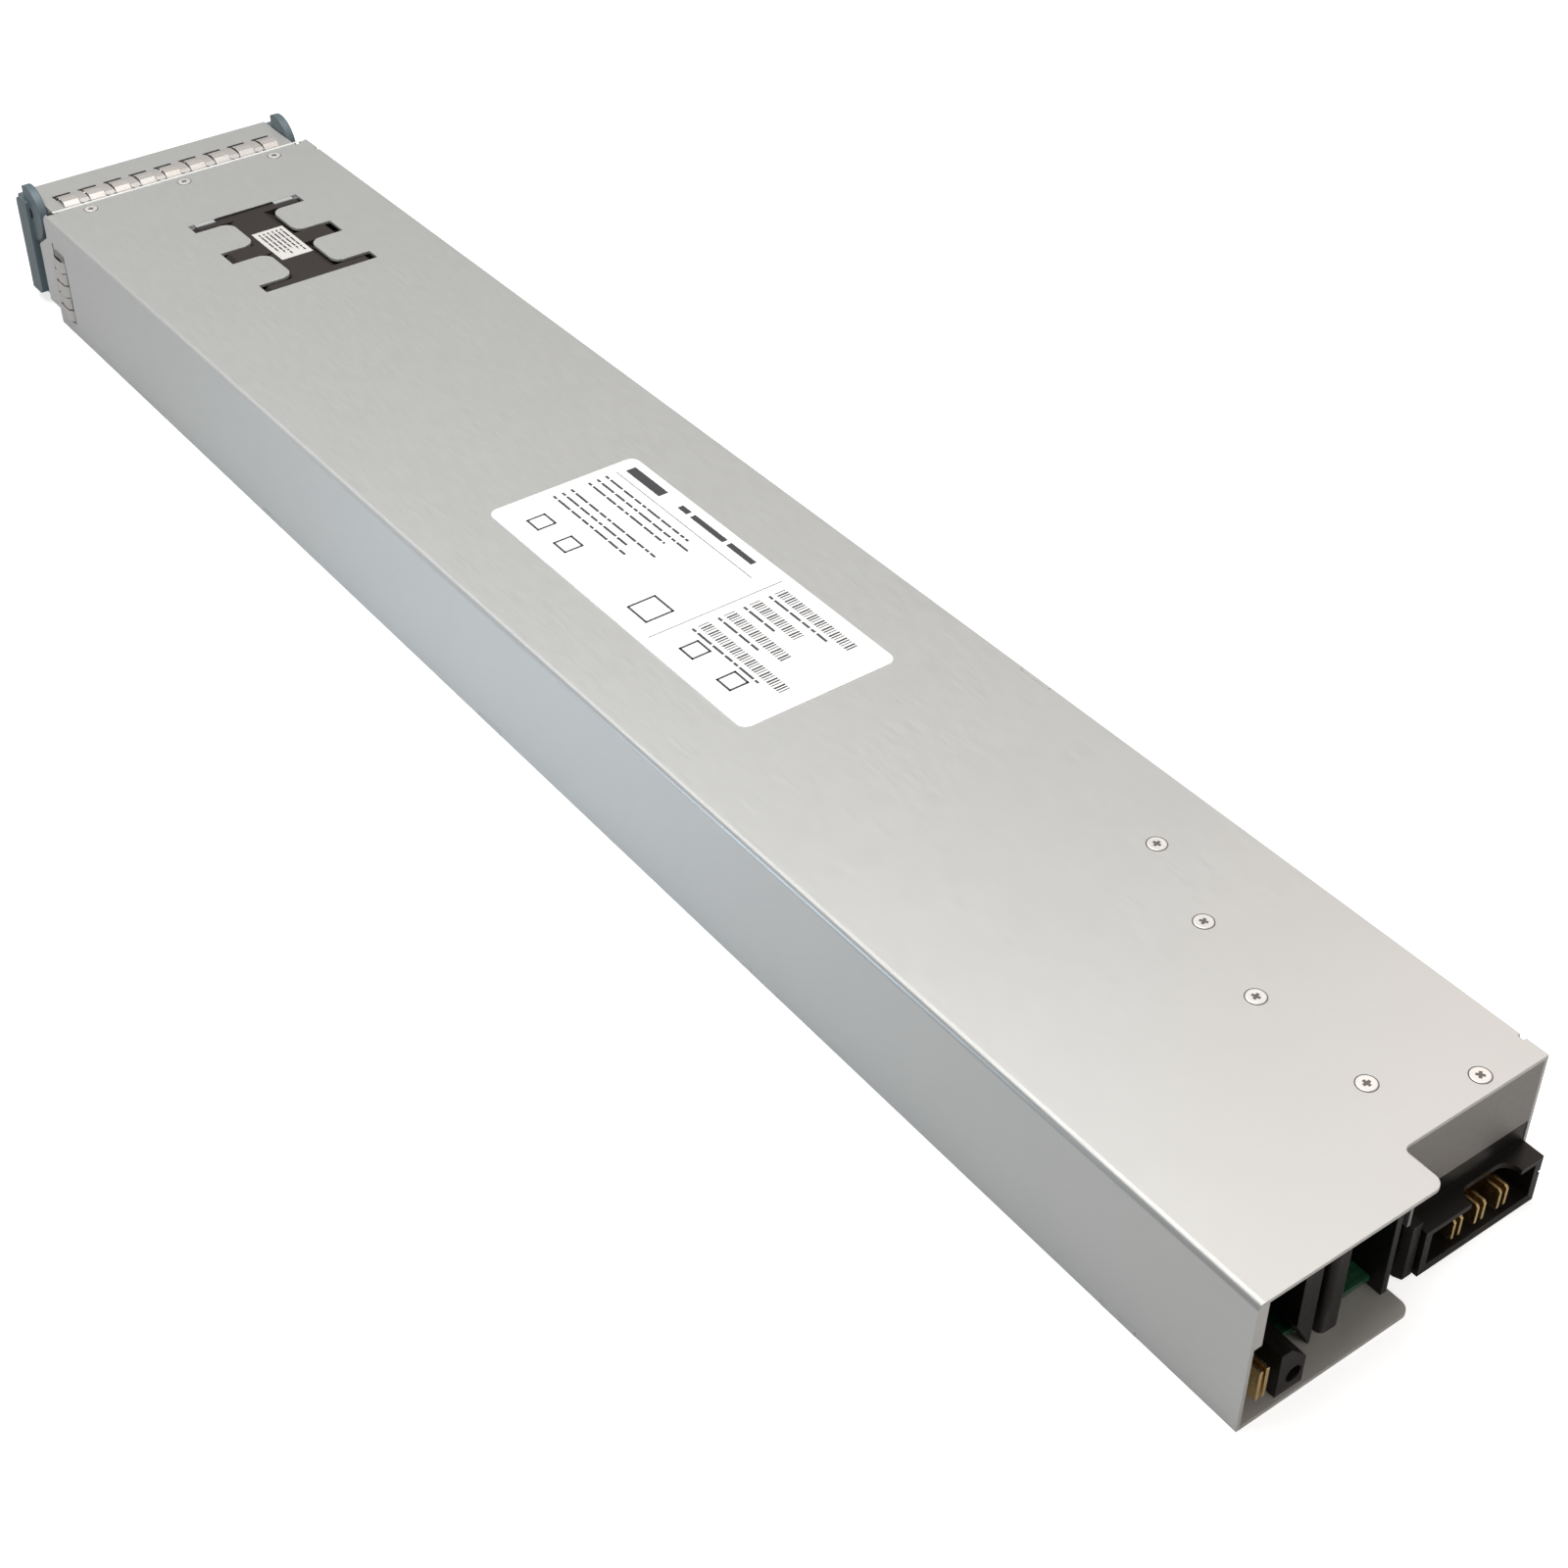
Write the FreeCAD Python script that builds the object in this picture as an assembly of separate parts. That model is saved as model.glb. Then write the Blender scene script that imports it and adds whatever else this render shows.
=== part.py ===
import FreeCAD, Part
import math
import os

from FreeCAD import Vector

# A hot swap power supply for a rack of servers, in millimetres.
# X is across, with the long plain side at +X. Y runs along the unit, from the
# handle end at -Y to the connector end at +Y. Z is up.
# The origin is at the centre of the unit's footprint, on the surface it lies on.

os.makedirs("parts", exist_ok=True)

# Casing
width = 101.0
height = 40.8
cover_length = 583.0
sheet = 1.0
bend_radius = 1.8
seam_gap = 0.1
fit_gap = 0.1
running_fit = 0.05

# Where the two sheets hook together: places are shares of the cover's length
hook_first = 0.2676
hook_step = 0.2233
hook_count = 4
hook_length = 11.0
hook_height = 1.6
seam_tab_start = 0.6763
seam_tab_length = 10.8
seam_tab_root = 1.0
relief_inset = 2.9
relief_width = 2.3
relief_depth = 1.7
seam_relief_inset = 8.1
seam_relief_depth = 0.9

# Front box that carries the handle, the grille and the spring fingers
box_depth = 24.0
box_side_gap = 4.4
box_lap = 12.0
box_sheet = 1.0

# Handle
handle_reach = 36.0
handle_bottom = 4.0
arm_thickness = 2.8
arm_width = 8.5
arm_back = 15.0
arm_top_drop = 1.6
arm_corner = 2.5
bar_height = 11.0
bar_thickness = 6.5
bar_taper = 6.0
bar_root = 3.0
bar_bend = 3.9
cam_radius = 9.6
cam_gap = 0.3
cam_thickness = 2.8
cam_tip_front = 3.8
pivot_back = 15.3
pivot_drop = 5.6
pivot_pin_radius = 2.0
pivot_head_radius = 3.0
pivot_head_thickness = 1.0
pivot_end_gap = 0.3

# Captive screw in the handle, drawn out, and its socket
screw_height = 9.5
screw_shank_radius = 1.75
screw_boss_radius = 5.0
screw_knob_radius = 5.2
screw_knob_length = 7.5
screw_travel = 5.0
screw_ridges = 14
screw_ridge_depth = 0.5
screw_slot_width = 1.2
screw_slot_depth = 1.4
screw_tip_gap = 1.5
screw_socket_radius = 6.2
socket_gap = 1.9
socket_length = 7.0

# Grille and status lights
hole_across = 6.4
hole_pitch = 7.6
grille_margin = 2.6
grille_web = 1.2
status_window = 3.0
status_spacing = 7.0
status_inset = 6.5
status_depth = 6.0
status_carrier = 1.5

# Spring fingers on top
finger_pitch = 9.55
finger_wide = 5.6
finger_narrow = 3.4
finger_sheet = 0.25
finger_length = 8.8
finger_rise = 1.5
finger_low_rise = 0.8
finger_foot = 2.2
finger_dip = 0.7
finger_back_gap = 0.5
finger_slot_length = 3.0
finger_slot_gap = 0.3
root_relief = 1.1
top_fingers = 9

# Spring fingers on the sides
side_fingers = 3
side_finger_pitch = 4.6
side_finger_wide = 4.2
side_finger_length = 8.6
side_finger_rise = 0.6
side_finger_dip = 2.0
side_finger_low_rise = 0.3
side_finger_low_dip = 2.8
side_finger_middle = 16.2
side_window_length = 9.5
side_window_back = 13.2
side_window_low = 4.4
side_window_drop = 8.6
side_tab_reach = 8.0
side_tab_low = 5.5
side_tab_drop = 8.5
side_tab_slope = 5.3

# Fan
fan_clearance = 0.8
fan_length = 56.0
fan_offset = -6.3
fan_start = 37.4
fan_flange = 4.0
fan_corner = 2.2
fan_wall = 1.1
barrel_sides = 12
hub_radius = 9.6
hub_length = 19.0
hub_wall = 1.2
rotor_gap = 0.8
blade_gap = 0.6
blade_count = 7
blade_sheet = 0.9
blade_chord = 15.0
blade_pitch = 42.0
shaft_radius = 1.0
bearing_radius = 3.0
bearing_length = 13.0
stator_radius = 7.6
stator_pole = 6.0
stator_length = 8.0
strut_count = 4
strut_width = 1.6
spider_thickness = 2.5
bracket_sheet = 0.4
bracket_corner = 10.0
bracket_tab_width = 7.0
bracket_tab_offset = 14.7
bracket_tab_lap = 1.5

# Openings over the fan
cutout_gap = 0.5
cutout_bar_front = 6.0
cutout_bar_middle = 9.0
cutout_bar_rear = 5.5
neck_left = 1.3
neck_right = -14.0
tongue_corner = 4.2

# Labels
label_width = 50.3
label_length = 124.6
label_start = 0.4245
label_offset = -0.7
label_thickness = 0.15
label_corner = 3.0
fan_label_width = 11.5
fan_label_length = 22.0

# Rear end
notch_depth = 12.2
notch_edge = -3.9
notch_corner = 3.0
notch_inner_corner = 2.0
base_notch_edge = -2.6
return_width = 2.2
return_bottom = 26.2
wall_bottom = 20.7
bulkhead_lip = 13.0

# Input connector
input_inset = 1.2
input_right = -11.0
input_out = 6.1
input_depth = 26.0
input_nose_top = 14.4
input_wall = 2.2
input_floor = 2.6
input_notch = (-42.0, -25.5)
input_notch_depth = 4.4
input_notch_corner = 3.5
cavity_top = 12.8
cavity_depth = 18.0
input_slot_bottom = 8.8
input_slot_height = 0.9
input_slot_depth = 1.2
input_slot_inset = 0.8
blade_spots = (-22.7, -30.3, -37.7)
blade_spacing = 2.2
blade_thickness = 0.7
blade_bottom = 4.3
blade_top = 10.9
blade_tip_inset = 0.4
blade_tail = 6.0

# Guide post beside the input connector
post_left = -10.3
post_right = -6.4
post_bottom = 0.5
post_top = 17.6
post_out = 7.2
post_length = 24.0
post_chamfer = (0.9, 2.0)

# Output end: edges and lanes are shares of the inner half width
partition_right = -1.8
partition_left = 0.0
foot_width = 5.0
foot_length = 12.0
foot_thickness = 1.2
output_back = 6.8
output_depth = 40.0
output_wall = 4.0
output_gap = 2.0
rib_edges = (0.2525, 0.3818)
rib_corner = 2.0
wedge_edges = (0.4485, 0.5556)
wedge_rise = 10.5
hood_thickness = 6.0
hood_inset = 6.0
block_edges = (0.6141, 0.7758)
block_top = 14.6
block_flat = 3.0
block_shoulder = 9.2
block_back = 1.0
block_length = 30.0
guide_hole_radius = 2.25
guide_hole_depth = 8.8
guide_hole_lane = 0.6788
guide_hole_z = 5.6
contact_edges = (0.8404, 0.897)
contact_bottom = 4.4
contact_top = 13.6
contact_back = 1.2
contact_length = 26.0
contact_sheet = 0.9
power_blade_lanes = (0.101, 0.1717, 0.5818)
power_blade_back = 26.8
power_blade_length = 32.0
power_blade_bottom = 8.0
power_blade_height = 18.0
output_board_back = 10.4
output_board_length = 38.0
output_board_height = 2.6
pad_inset = 8.0
pad_gap = 0.2

# Boards
board_sheet = 1.6
board_height = 5.0
board_front_gap = 104.0
board_rear_gap = 51.0
board_side_gap = 2.0
standoff_radius = 2.9
standoff_rows = 5
standoff_inset = 5.0

# Parts on the main board. Starts, pitches and lengths without a size of their own are
# shares of the board's length, heights are shares of the room above the board, and
# lanes are shares of the inner half width.
capacitor_lane = -0.58
capacitor_start = 0.02
capacitor_length = 0.14
capacitor_pitch = 0.155
capacitor_height = 0.9
capacitor_count = 2
transformer_lane = 0.52
transformer_start = 0.05
transformer_pitch = 0.12
transformer_size = (34.0, 36.0)
transformer_height = 0.84
transformer_leg = 7.0
transformer_count = 2
winding_out = 3.0
choke_lane = -0.6
choke_start = 0.42
choke_height = 0.8
choke_thickness = 14.0
filter_start = 0.88
filter_height = 0.66
filter_thickness = 12.0
toroid_hole = 0.45
turns_bulge = 1.6
turn_count = 6
turn_width = 3.2
sink_lanes = (-0.12, 0.24)
sink_start = 0.435
sink_length = 0.35
sink_height = 0.9
sink_sheet = 2.0
sink_fins = 7
sink_fin_length = 6.0
sink_fin_sheet = 1.0
transistor_size = (15.5, 4.6, 20.0)
transistor_count = 5
transistor_inset = 0.015
transistor_pitch = 0.065
transistor_lift = 4.0
film_lane = -0.62
film_start = 0.55
film_pitch = 0.075
film_size = (15.0, 26.0)
film_height = 0.6
film_count = 3
relay_lane = -0.12
relay_start = 0.9
relay_size = (16.0, 28.0)
output_cap_lane = 0.44
output_cap_start = 0.83
output_cap_pitch = 0.05
output_cap_radius = 8.0
output_cap_height = 0.75
output_cap_count = 3
output_choke_lane = 0.62
output_choke_start = 0.3
output_choke_pitch = 0.07
output_choke_size = (24.0, 24.0)
output_choke_height = 0.54
output_choke_count = 2
bus_lanes = (0.81, 0.91)
bus_start = 0.46
bus_end = 0.99
bus_sheet = 2.0
bus_height = 12.0
card_lane = 0.6
card_start = 0.56
card_length = 0.21
card_height = 0.78
card_sheet = 1.2
card_chip = (2.2, 10.0, 10.0)
card_chips = 4
card_chip_inset = 0.02
card_chip_pitch = 0.047
card_chip_lift = 8.0

# Worked out from the above
cover_front = (handle_reach + screw_travel + screw_knob_length - cover_length) / 2
cover_rear = cover_front + cover_length
side = width / 2
inner_top = height - sheet
inner_side = side - sheet
inner_edge = side - bend_radius
box_front = cover_front - box_depth
box_side = side - box_side_gap
box_bottom = sheet
box_top = inner_top
wall_line = cover_rear - notch_depth
pivot_y = cover_front - pivot_back
pivot_z = height - pivot_drop
arm_inner = side - arm_thickness
cam_inner = box_side + cam_gap
side_window_top = height - side_window_drop
side_tab_top = height - side_tab_drop
bar_front = cover_front - handle_reach
fan_size = height - fan_clearance
fan_bore = fan_size / 2 - fan_wall
fan_z = height / 2
fan_top = fan_z + fan_size / 2
fan_front = cover_front + fan_start
fan_rear = fan_front + fan_length
fan_joint = fan_front + fan_length / 2
input_left = input_inset - side
rib_left, rib_right = (inner_side * edge for edge in rib_edges)
wedge_left, wedge_right = (inner_side * edge for edge in wedge_edges)
block_left, block_right = (inner_side * edge for edge in block_edges)
contact_left, contact_right = (inner_side * edge for edge in contact_edges)
power_blades = [inner_side * lane for lane in power_blade_lanes]
guide_hole_x = inner_side * guide_hole_lane
output_board_top = output_board_height + board_sheet
board_top = board_height + board_sheet
board_front = cover_front + board_front_gap
board_length = cover_length - board_front_gap - board_rear_gap
head_room = inner_top - board_top


def box(low, high):
    """A block between two opposite corners."""
    size = Vector(*high) - Vector(*low)
    return Part.makeBox(size.x, size.y, size.z, Vector(*low))


def rod(radius, start, end):
    """A round bar between two points."""
    line = Vector(*end) - Vector(*start)
    return Part.makeCylinder(radius, line.Length, Vector(*start), line)


def plate(points, push):
    """A flat outline of straight edges, pushed along a vector."""
    corners = [Vector(*point) for point in points]
    wire = Part.makePolygon(corners + corners[:1])
    return Part.Face(wire).extrude(Vector(*push))


def prism(sides, reach, foot, push):
    """An upright or lying bar with flat sides round the point at its foot."""
    axis = Vector(*push)
    turns = [2 * math.pi * (step + 0.5) / sides for step in range(sides)]
    if axis.z:
        points = [Vector(reach * math.cos(turn), reach * math.sin(turn), 0) for turn in turns]
    else:
        points = [Vector(reach * math.cos(turn), 0, reach * math.sin(turn)) for turn in turns]
    return plate([point + Vector(*foot) for point in points], push)


def round_edges(shape, radius, test):
    """Rounds the edges whose middle passes the test."""
    edges = [edge for edge in shape.Edges if test(edge.CenterOfMass, edge)]
    return shape.makeFillet(radius, edges) if edges else shape


def upright(edge):
    """True for a straight edge along Z."""
    span = edge.BoundBox
    return span.ZLength > 0.01 and span.XLength < 0.01 and span.YLength < 0.01


def join(shapes):
    """Fuses shapes into one clean solid."""
    first, rest = shapes[0], shapes[1:]
    return first.fuse(rest).removeSplitter() if rest else first


def along(share):
    """Distance along the unit of a share of the main board's length."""
    return board_front + share * board_length


def across(share):
    """Distance across the unit of a share of its inner half width."""
    return inner_side * share


def angle_sheet(top, left_wall):
    """A long sheet folded once along Y, seen from the front, with a round bend."""
    outer, inner = bend_radius, bend_radius - sheet
    reach = -side if top else inner_side - seam_gap
    far = seam_gap if top else inner_top - seam_gap
    mirror = -1 if left_wall else 1
    edge = mirror * side
    level = height if top else 0.0
    into = -1 if top else 1
    mid = math.sqrt(0.5)

    def spot(out, depth):
        return Vector(edge - mirror * out, cover_front, level + into * depth)

    corner = Vector(edge - mirror * outer, cover_front, level + into * outer)
    outer_mid = corner + Vector(mirror * outer * mid, 0, -into * outer * mid)
    inner_mid = corner + Vector(mirror * inner * mid, 0, -into * inner * mid)
    flat_end = abs(edge - reach)
    wall_end = abs(level - far)
    edges = [
        Part.LineSegment(spot(flat_end, 0), spot(outer, 0)),
        Part.Arc(spot(outer, 0), outer_mid, spot(0, outer)),
        Part.LineSegment(spot(0, outer), spot(0, wall_end)),
        Part.LineSegment(spot(0, wall_end), spot(sheet, wall_end)),
        Part.LineSegment(spot(sheet, wall_end), spot(sheet, outer)),
        Part.Arc(spot(sheet, outer), inner_mid, spot(outer, sheet)),
        Part.LineSegment(spot(outer, sheet), spot(flat_end, sheet)),
        Part.LineSegment(spot(flat_end, sheet), spot(flat_end, 0)),
    ]
    wire = Part.Wire([edge_curve.toShape() for edge_curve in edges])
    return Part.Face(wire).extrude(Vector(0, cover_length, 0))


def fan_cutout(low, high):
    """Three cross slots for the fan's flanges, joined by a neck over its barrel."""
    left = fan_offset - fan_size / 2 - cutout_gap
    right = fan_offset + fan_size / 2 + cutout_gap
    front = fan_front - bracket_sheet - cutout_gap / 2
    rear = fan_rear + cutout_gap / 2
    half = cutout_bar_middle / 2
    neck = box((neck_right, front, low), (neck_left, rear, high))
    bars = [
        box((left, front, low), (right, front + cutout_bar_front, high)),
        box((left, fan_joint - half, low), (right, fan_joint + half, high)),
        box((left, rear - cutout_bar_rear, low), (right, rear, high)),
    ]
    shape = join([neck] + bars)

    def tongue(point, edge):
        at_neck = min(abs(point.x - neck_left), abs(point.x - neck_right)) < 0.01
        return at_neck and upright(edge) and front + 1 < point.y < rear - 1

    return round_edges(shape, tongue_corner, tongue)


def rear_notch(edge):
    """The corner that is cut away over the input connector."""
    shape = box((-side - 1, wall_line, -1), (edge, cover_rear + 1, height + 1))

    def inner(point, line):
        return upright(line) and abs(point.x - edge) < 0.01 and abs(point.y - wall_line) < 0.01

    return round_edges(shape, notch_inner_corner, inner)


def hook_spots():
    """Middles of the four hooks along the long bottom edge."""
    return [cover_front + cover_length * (hook_first + hook_step * number) for number in range(hook_count)]


def side_window(sign):
    """The opening in a side wall where the side fingers dip in."""
    rear = cover_front + side_window_back
    low, high = sorted((sign * (inner_side - 1), sign * (side + 1)))
    return box((low, rear - side_window_length, side_window_low), (high, rear, side_window_top))


def side_tab(sign):
    """The part of a side wall that stands forward beside the handle's cam."""
    front = cover_front - side_tab_reach
    rear = cover_front + bend_radius
    outline = [(rear, side_tab_low), (front, side_tab_low), (front, side_tab_top - side_tab_slope),
               (cover_front, side_tab_top), (rear, side_tab_top)]
    start = inner_side if sign > 0 else -side
    return plate([(start, y, z) for y, z in outline], (sheet, 0, 0))


def seam_tab(gap):
    """The tab that stands up through the top sheet's far edge, or the notch it stands in."""
    start = cover_front + cover_length * seam_tab_start
    return box((-side - gap, start - gap, inner_top - seam_tab_root),
               (-side + sheet + gap, start + seam_tab_length + gap, height + gap))


def hook_notches():
    """Notches in the folded side's bottom edge that the hooks fill."""
    half = hook_length / 2 + fit_gap
    return [box((inner_side - 1, middle - half, -1), (side + 1, middle + half, hook_height + fit_gap))
            for middle in hook_spots()]


def edge_reliefs():
    """Small reliefs in the top sheet: two at the front corners and two on the seam."""
    low, high = inner_top - 1, height + 1
    near, far = side - relief_inset - relief_width, side - relief_inset
    shapes = [box((near, cover_front - 1, low), (far, cover_front + relief_depth, high)),
              box((-far, cover_front - 1, low), (-near, cover_front + relief_depth, high))]
    for start in (cover_front + seam_relief_inset, wall_line - seam_relief_inset):
        shapes.append(box((-side - 1, start, low), (seam_relief_depth - side, start + relief_depth, high)))
    return shapes


def rounded_outer_corner(shape, edge_x):
    """Rounds the free corner of a sheet beside the cut-away corner."""
    def outer(point, edge):
        return upright(edge) and abs(point.y - cover_rear) < 0.01 and abs(point.x - edge_x) < 0.01

    return round_edges(shape, notch_corner, outer)


def top_cover():
    """Top sheet with the long plain side folded down from it."""
    flange = box((inner_side - return_width, cover_rear - sheet, return_bottom),
                 (inner_side, cover_rear, inner_top))
    shape = join([angle_sheet(True, False), side_tab(1), flange])
    cuts = [fan_cutout(inner_top - 1, height + 1), rear_notch(notch_edge), side_window(1)]
    cuts.append(seam_tab(fit_gap))
    cuts += hook_notches() + edge_reliefs()
    return rounded_outer_corner(shape.cut(cuts), notch_edge)


def base_tray():
    """Bottom sheet with the side beside the input connector folded up from it."""
    hooks = [box((inner_side - seam_gap - 1, middle - hook_length / 2, 0),
                 (side, middle + hook_length / 2, hook_height)) for middle in hook_spots()]
    shape = join([angle_sheet(False, True), seam_tab(0), side_tab(-1)] + hooks)
    shape = shape.cut([fan_cutout(-1, sheet + 1), rear_notch(base_notch_edge), side_window(-1)])
    return rounded_outer_corner(shape, base_notch_edge)


def finger_spots(count, pitch):
    """Middles of a row of fingers about its centre."""
    return [(number - (count - 1) / 2) * pitch for number in range(count)]


def gaps_between(places):
    """Middles between neighbouring places."""
    return [(low + high) / 2 for low, high in zip(places, places[1:])]


def finger(length, rise, dip, wide):
    """One folded spring finger: root at the origin, tip towards -Y, humped along Z."""
    line = [(0, 0), (-0.18 * length, 0.8 * rise), (-0.45 * length, rise), (-0.75 * length, 0.7 * rise),
            (-length, -dip)]
    upper = [(-wide / 2, y, z + finger_sheet) for y, z in line]
    lower = [(-wide / 2, y, z) for y, z in reversed(line)]
    return plate(upper + lower, (wide, 0, 0))


def top_slots():
    """Slots in the front box that the tips of the top fingers dip into, with reliefs at their roots."""
    foot = cover_front - finger_back_gap - finger_foot
    low = foot - finger_length - finger_slot_length / 3
    reach = finger_wide / 2 + finger_slot_gap
    floor, ceiling = box_top - box_sheet - 1, box_top + 1
    places = finger_spots(top_fingers, finger_pitch)
    slots = [box((x - reach, low, floor), (x + reach, low + finger_slot_length, ceiling)) for x in places]
    half = (finger_pitch - finger_wide) / 2
    for x in gaps_between(places):
        slots.append(box((x - half, foot, floor), (x + half, foot + root_relief, ceiling)))
    return slots


def front_box():
    """Folded sheet box that slides under the cover and carries the handle."""
    rear = cover_front + box_lap
    outside = box((-box_side, box_front, box_bottom), (box_side, rear, box_top))
    inside = box((-box_side + box_sheet, box_front - 1, box_bottom + box_sheet),
                 (box_side - box_sheet, rear + 1, box_top - box_sheet))
    shape = outside.cut(inside)
    wings = []
    for sign in (-1, 1):
        low, high = sorted((sign * box_side, sign * inner_edge))
        wings.append(box((low, cover_front + fit_gap, box_bottom), (high, cover_front + box_sheet, box_top)))
    cuts = top_slots()
    cuts.append(rod(pivot_pin_radius + running_fit, (-side, pivot_y, pivot_z), (side, pivot_y, pivot_z)))
    return join([shape] + wings).cut(cuts)


def hexagon(x, z, size):
    """A six-sided prism through the grille."""
    radius = size / math.sqrt(3)
    turns = [math.radians(60 * step) for step in range(6)]
    points = [(x + radius * math.sin(turn), box_front - 1, z + radius * math.cos(turn)) for turn in turns]
    return plate(points, (0, box_sheet + 2, 0))


def status_spots():
    """Middles of the two status windows at one end of the grille."""
    x = -box_side + box_sheet + status_inset
    top = box_top - box_sheet - status_inset
    return [(x, top), (x, top - status_spacing)]


def hole_spots():
    """Middles of the grille's holes, clear of the screw and the status windows."""
    row_step = hole_pitch * math.sqrt(3) / 2
    columns = int((2 * (box_side - box_sheet - grille_margin) - hole_across) / hole_pitch)
    rows = int((box_top - box_bottom - 2 * (box_sheet + grille_margin) - hole_across) / row_step) + 1
    middle = (box_bottom + box_top) / 2
    spots = []
    for row in range(rows):
        z = middle + (row - (rows - 1) / 2) * row_step
        for column in range(columns + 1 - row % 2):
            x = (column - columns / 2 + (row % 2) / 2) * hole_pitch
            near_screw = math.hypot(x, z - screw_height) < screw_socket_radius + hole_across / 2 + grille_web
            near_status = any(math.hypot(x - spot[0], z - spot[1]) < hole_across / 2 + status_window
                              for spot in status_spots())
            if not near_screw and not near_status:
                spots.append((x, z))
    return spots


def front_grille():
    """Face plate with a honeycomb of air holes."""
    left, right = -box_side + box_sheet, box_side - box_sheet
    rear = box_front + box_sheet
    shape = box((left, box_front, box_bottom + box_sheet), (right, rear, box_top - box_sheet))
    cuts = [hexagon(x, z, hole_across) for x, z in hole_spots()]
    half = status_window / 2
    for x, z in status_spots():
        cuts.append(box((x - half, box_front - 1, z - half), (x + half, rear + 1, z + half)))
    cuts.append(prism(6, screw_socket_radius + fit_gap, (0, box_front - 1, screw_height),
                      (0, box_sheet + 2, 0)))
    return shape.cut(cuts)


def screw_socket():
    """Six-sided bush in the grille that takes the captive screw."""
    barrel = prism(6, screw_socket_radius, (0, box_front, screw_height), (0, socket_length, 0))
    hole = rod(screw_shank_radius + socket_gap, (0, box_front - 1, screw_height),
               (0, box_front + socket_length + 1, screw_height))
    return barrel.cut(hole)


def status_lights():
    """Light pipes behind the status windows, joined by their carrier."""
    back = box_front + box_sheet
    half = status_window / 2 - fit_gap
    pipes = [box((x - half, box_front + fit_gap, z - half), (x + half, back + status_depth, z + half))
             for x, z in status_spots()]
    x, top = status_spots()[0]
    carrier = box((x - status_window, back, top - status_spacing - status_window),
                  (x + status_window, back + status_carrier, top + status_window))
    return join([carrier] + pipes)


def handle_arm(sign):
    """One side of the handle: the outer bar and the round cam on its pivot."""
    front = cover_front - arm_back - arm_width
    rear = cover_front - arm_back
    top = height - arm_top_drop
    bar = box((arm_inner, front, handle_bottom), (side, rear, top))

    def round_corner(point, edge):
        front_top = abs(point.y - front) < 0.01 and abs(point.z - top) < 0.01
        rear_low = abs(point.y - rear) < 0.01 and abs(point.z - handle_bottom) < 0.01
        return edge.BoundBox.XLength > 1 and (front_top or rear_low)

    bar = round_edges(bar, arm_corner, round_corner)
    outer = cam_inner + cam_thickness
    cam = rod(cam_radius, (cam_inner, pivot_y, pivot_z), (outer, pivot_y, pivot_z))
    corner = box((cam_inner - 1, pivot_y - cam_radius - 1, top),
                 (outer + 1, pivot_y - cam_tip_front, pivot_z + cam_radius + 1))
    arm = join([bar, cam.cut(corner)])
    bore = rod(pivot_pin_radius + running_fit, (cam_inner - 1, pivot_y, pivot_z), (outer, pivot_y, pivot_z))
    arm = arm.cut(bore)
    return arm if sign > 0 else arm.mirror(Vector(0, 0, 0), Vector(1, 0, 0))


def handle_bar():
    """The bowed bar across the front, swept back into both arms."""
    back = cover_front - arm_back - arm_width
    inner_y = bar_front + bar_thickness
    outer_x = side - bar_taper
    inner_x = outer_x - bar_thickness
    half = [(side, back + bar_root), (side, back), (outer_x, bar_front)]
    inner_half = [(inner_x, inner_y), (cam_inner, box_front - cam_gap), (cam_inner, back),
                  (arm_inner, back + bar_root)]
    outline = half + [(-x, y) for x, y in reversed(half)]
    outline += [(-x, y) for x, y in reversed(inner_half)] + inner_half
    shape = plate([(x, y, handle_bottom) for x, y in outline], (0, 0, bar_height))

    def bends(point, edge):
        return upright(edge) and point.y < box_front - 1

    return round_edges(shape, bar_bend, bends)


def handle():
    """Bail that swings up on the two pivots and works the unit in and out."""
    rear = bar_front + bar_thickness
    boss = rod(screw_boss_radius, (0, bar_front, screw_height), (0, rear, screw_height))
    shape = join([handle_bar(), handle_arm(1), handle_arm(-1), boss])
    return shape.cut(rod(screw_shank_radius + running_fit, (0, bar_front - 1, screw_height),
                         (0, rear + 1, screw_height)))


def pivot_pins():
    """Two headed pins through the front box's sides, which carry the handle."""
    pins = []
    inside = box_side - box_sheet
    outer = cam_inner + cam_thickness - pivot_end_gap
    for sign in (-1, 1):
        shank = rod(pivot_pin_radius, (sign * inside, pivot_y, pivot_z), (sign * outer, pivot_y, pivot_z))
        head = rod(pivot_head_radius, (sign * (inside - pivot_head_thickness), pivot_y, pivot_z),
                   (sign * inside, pivot_y, pivot_z))
        pins.append(join([shank, head]))
    return Part.makeCompound(pins)


def captive_screw():
    """Thumb screw with a ridged knob, drawn out of its socket."""
    knob_back = bar_front - screw_travel
    knob_front = knob_back - screw_knob_length
    ridges = []
    for step in range(2 * screw_ridges):
        reach = screw_knob_radius - (screw_ridge_depth if step % 2 else 0)
        turn = math.pi * step / screw_ridges
        ridges.append((reach * math.sin(turn), knob_front, screw_height + reach * math.cos(turn)))
    knob = plate(ridges, (0, screw_knob_length, 0))
    half = screw_slot_width / 2
    slot = box((-screw_knob_radius, knob_front - 1, screw_height - half),
               (screw_knob_radius, knob_front + screw_slot_depth, screw_height + half))
    tip = box_front - screw_tip_gap
    shank = rod(screw_shank_radius, (0, knob_back - 1, screw_height), (0, tip, screw_height))
    return join([knob.cut(slot), shank])


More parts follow.
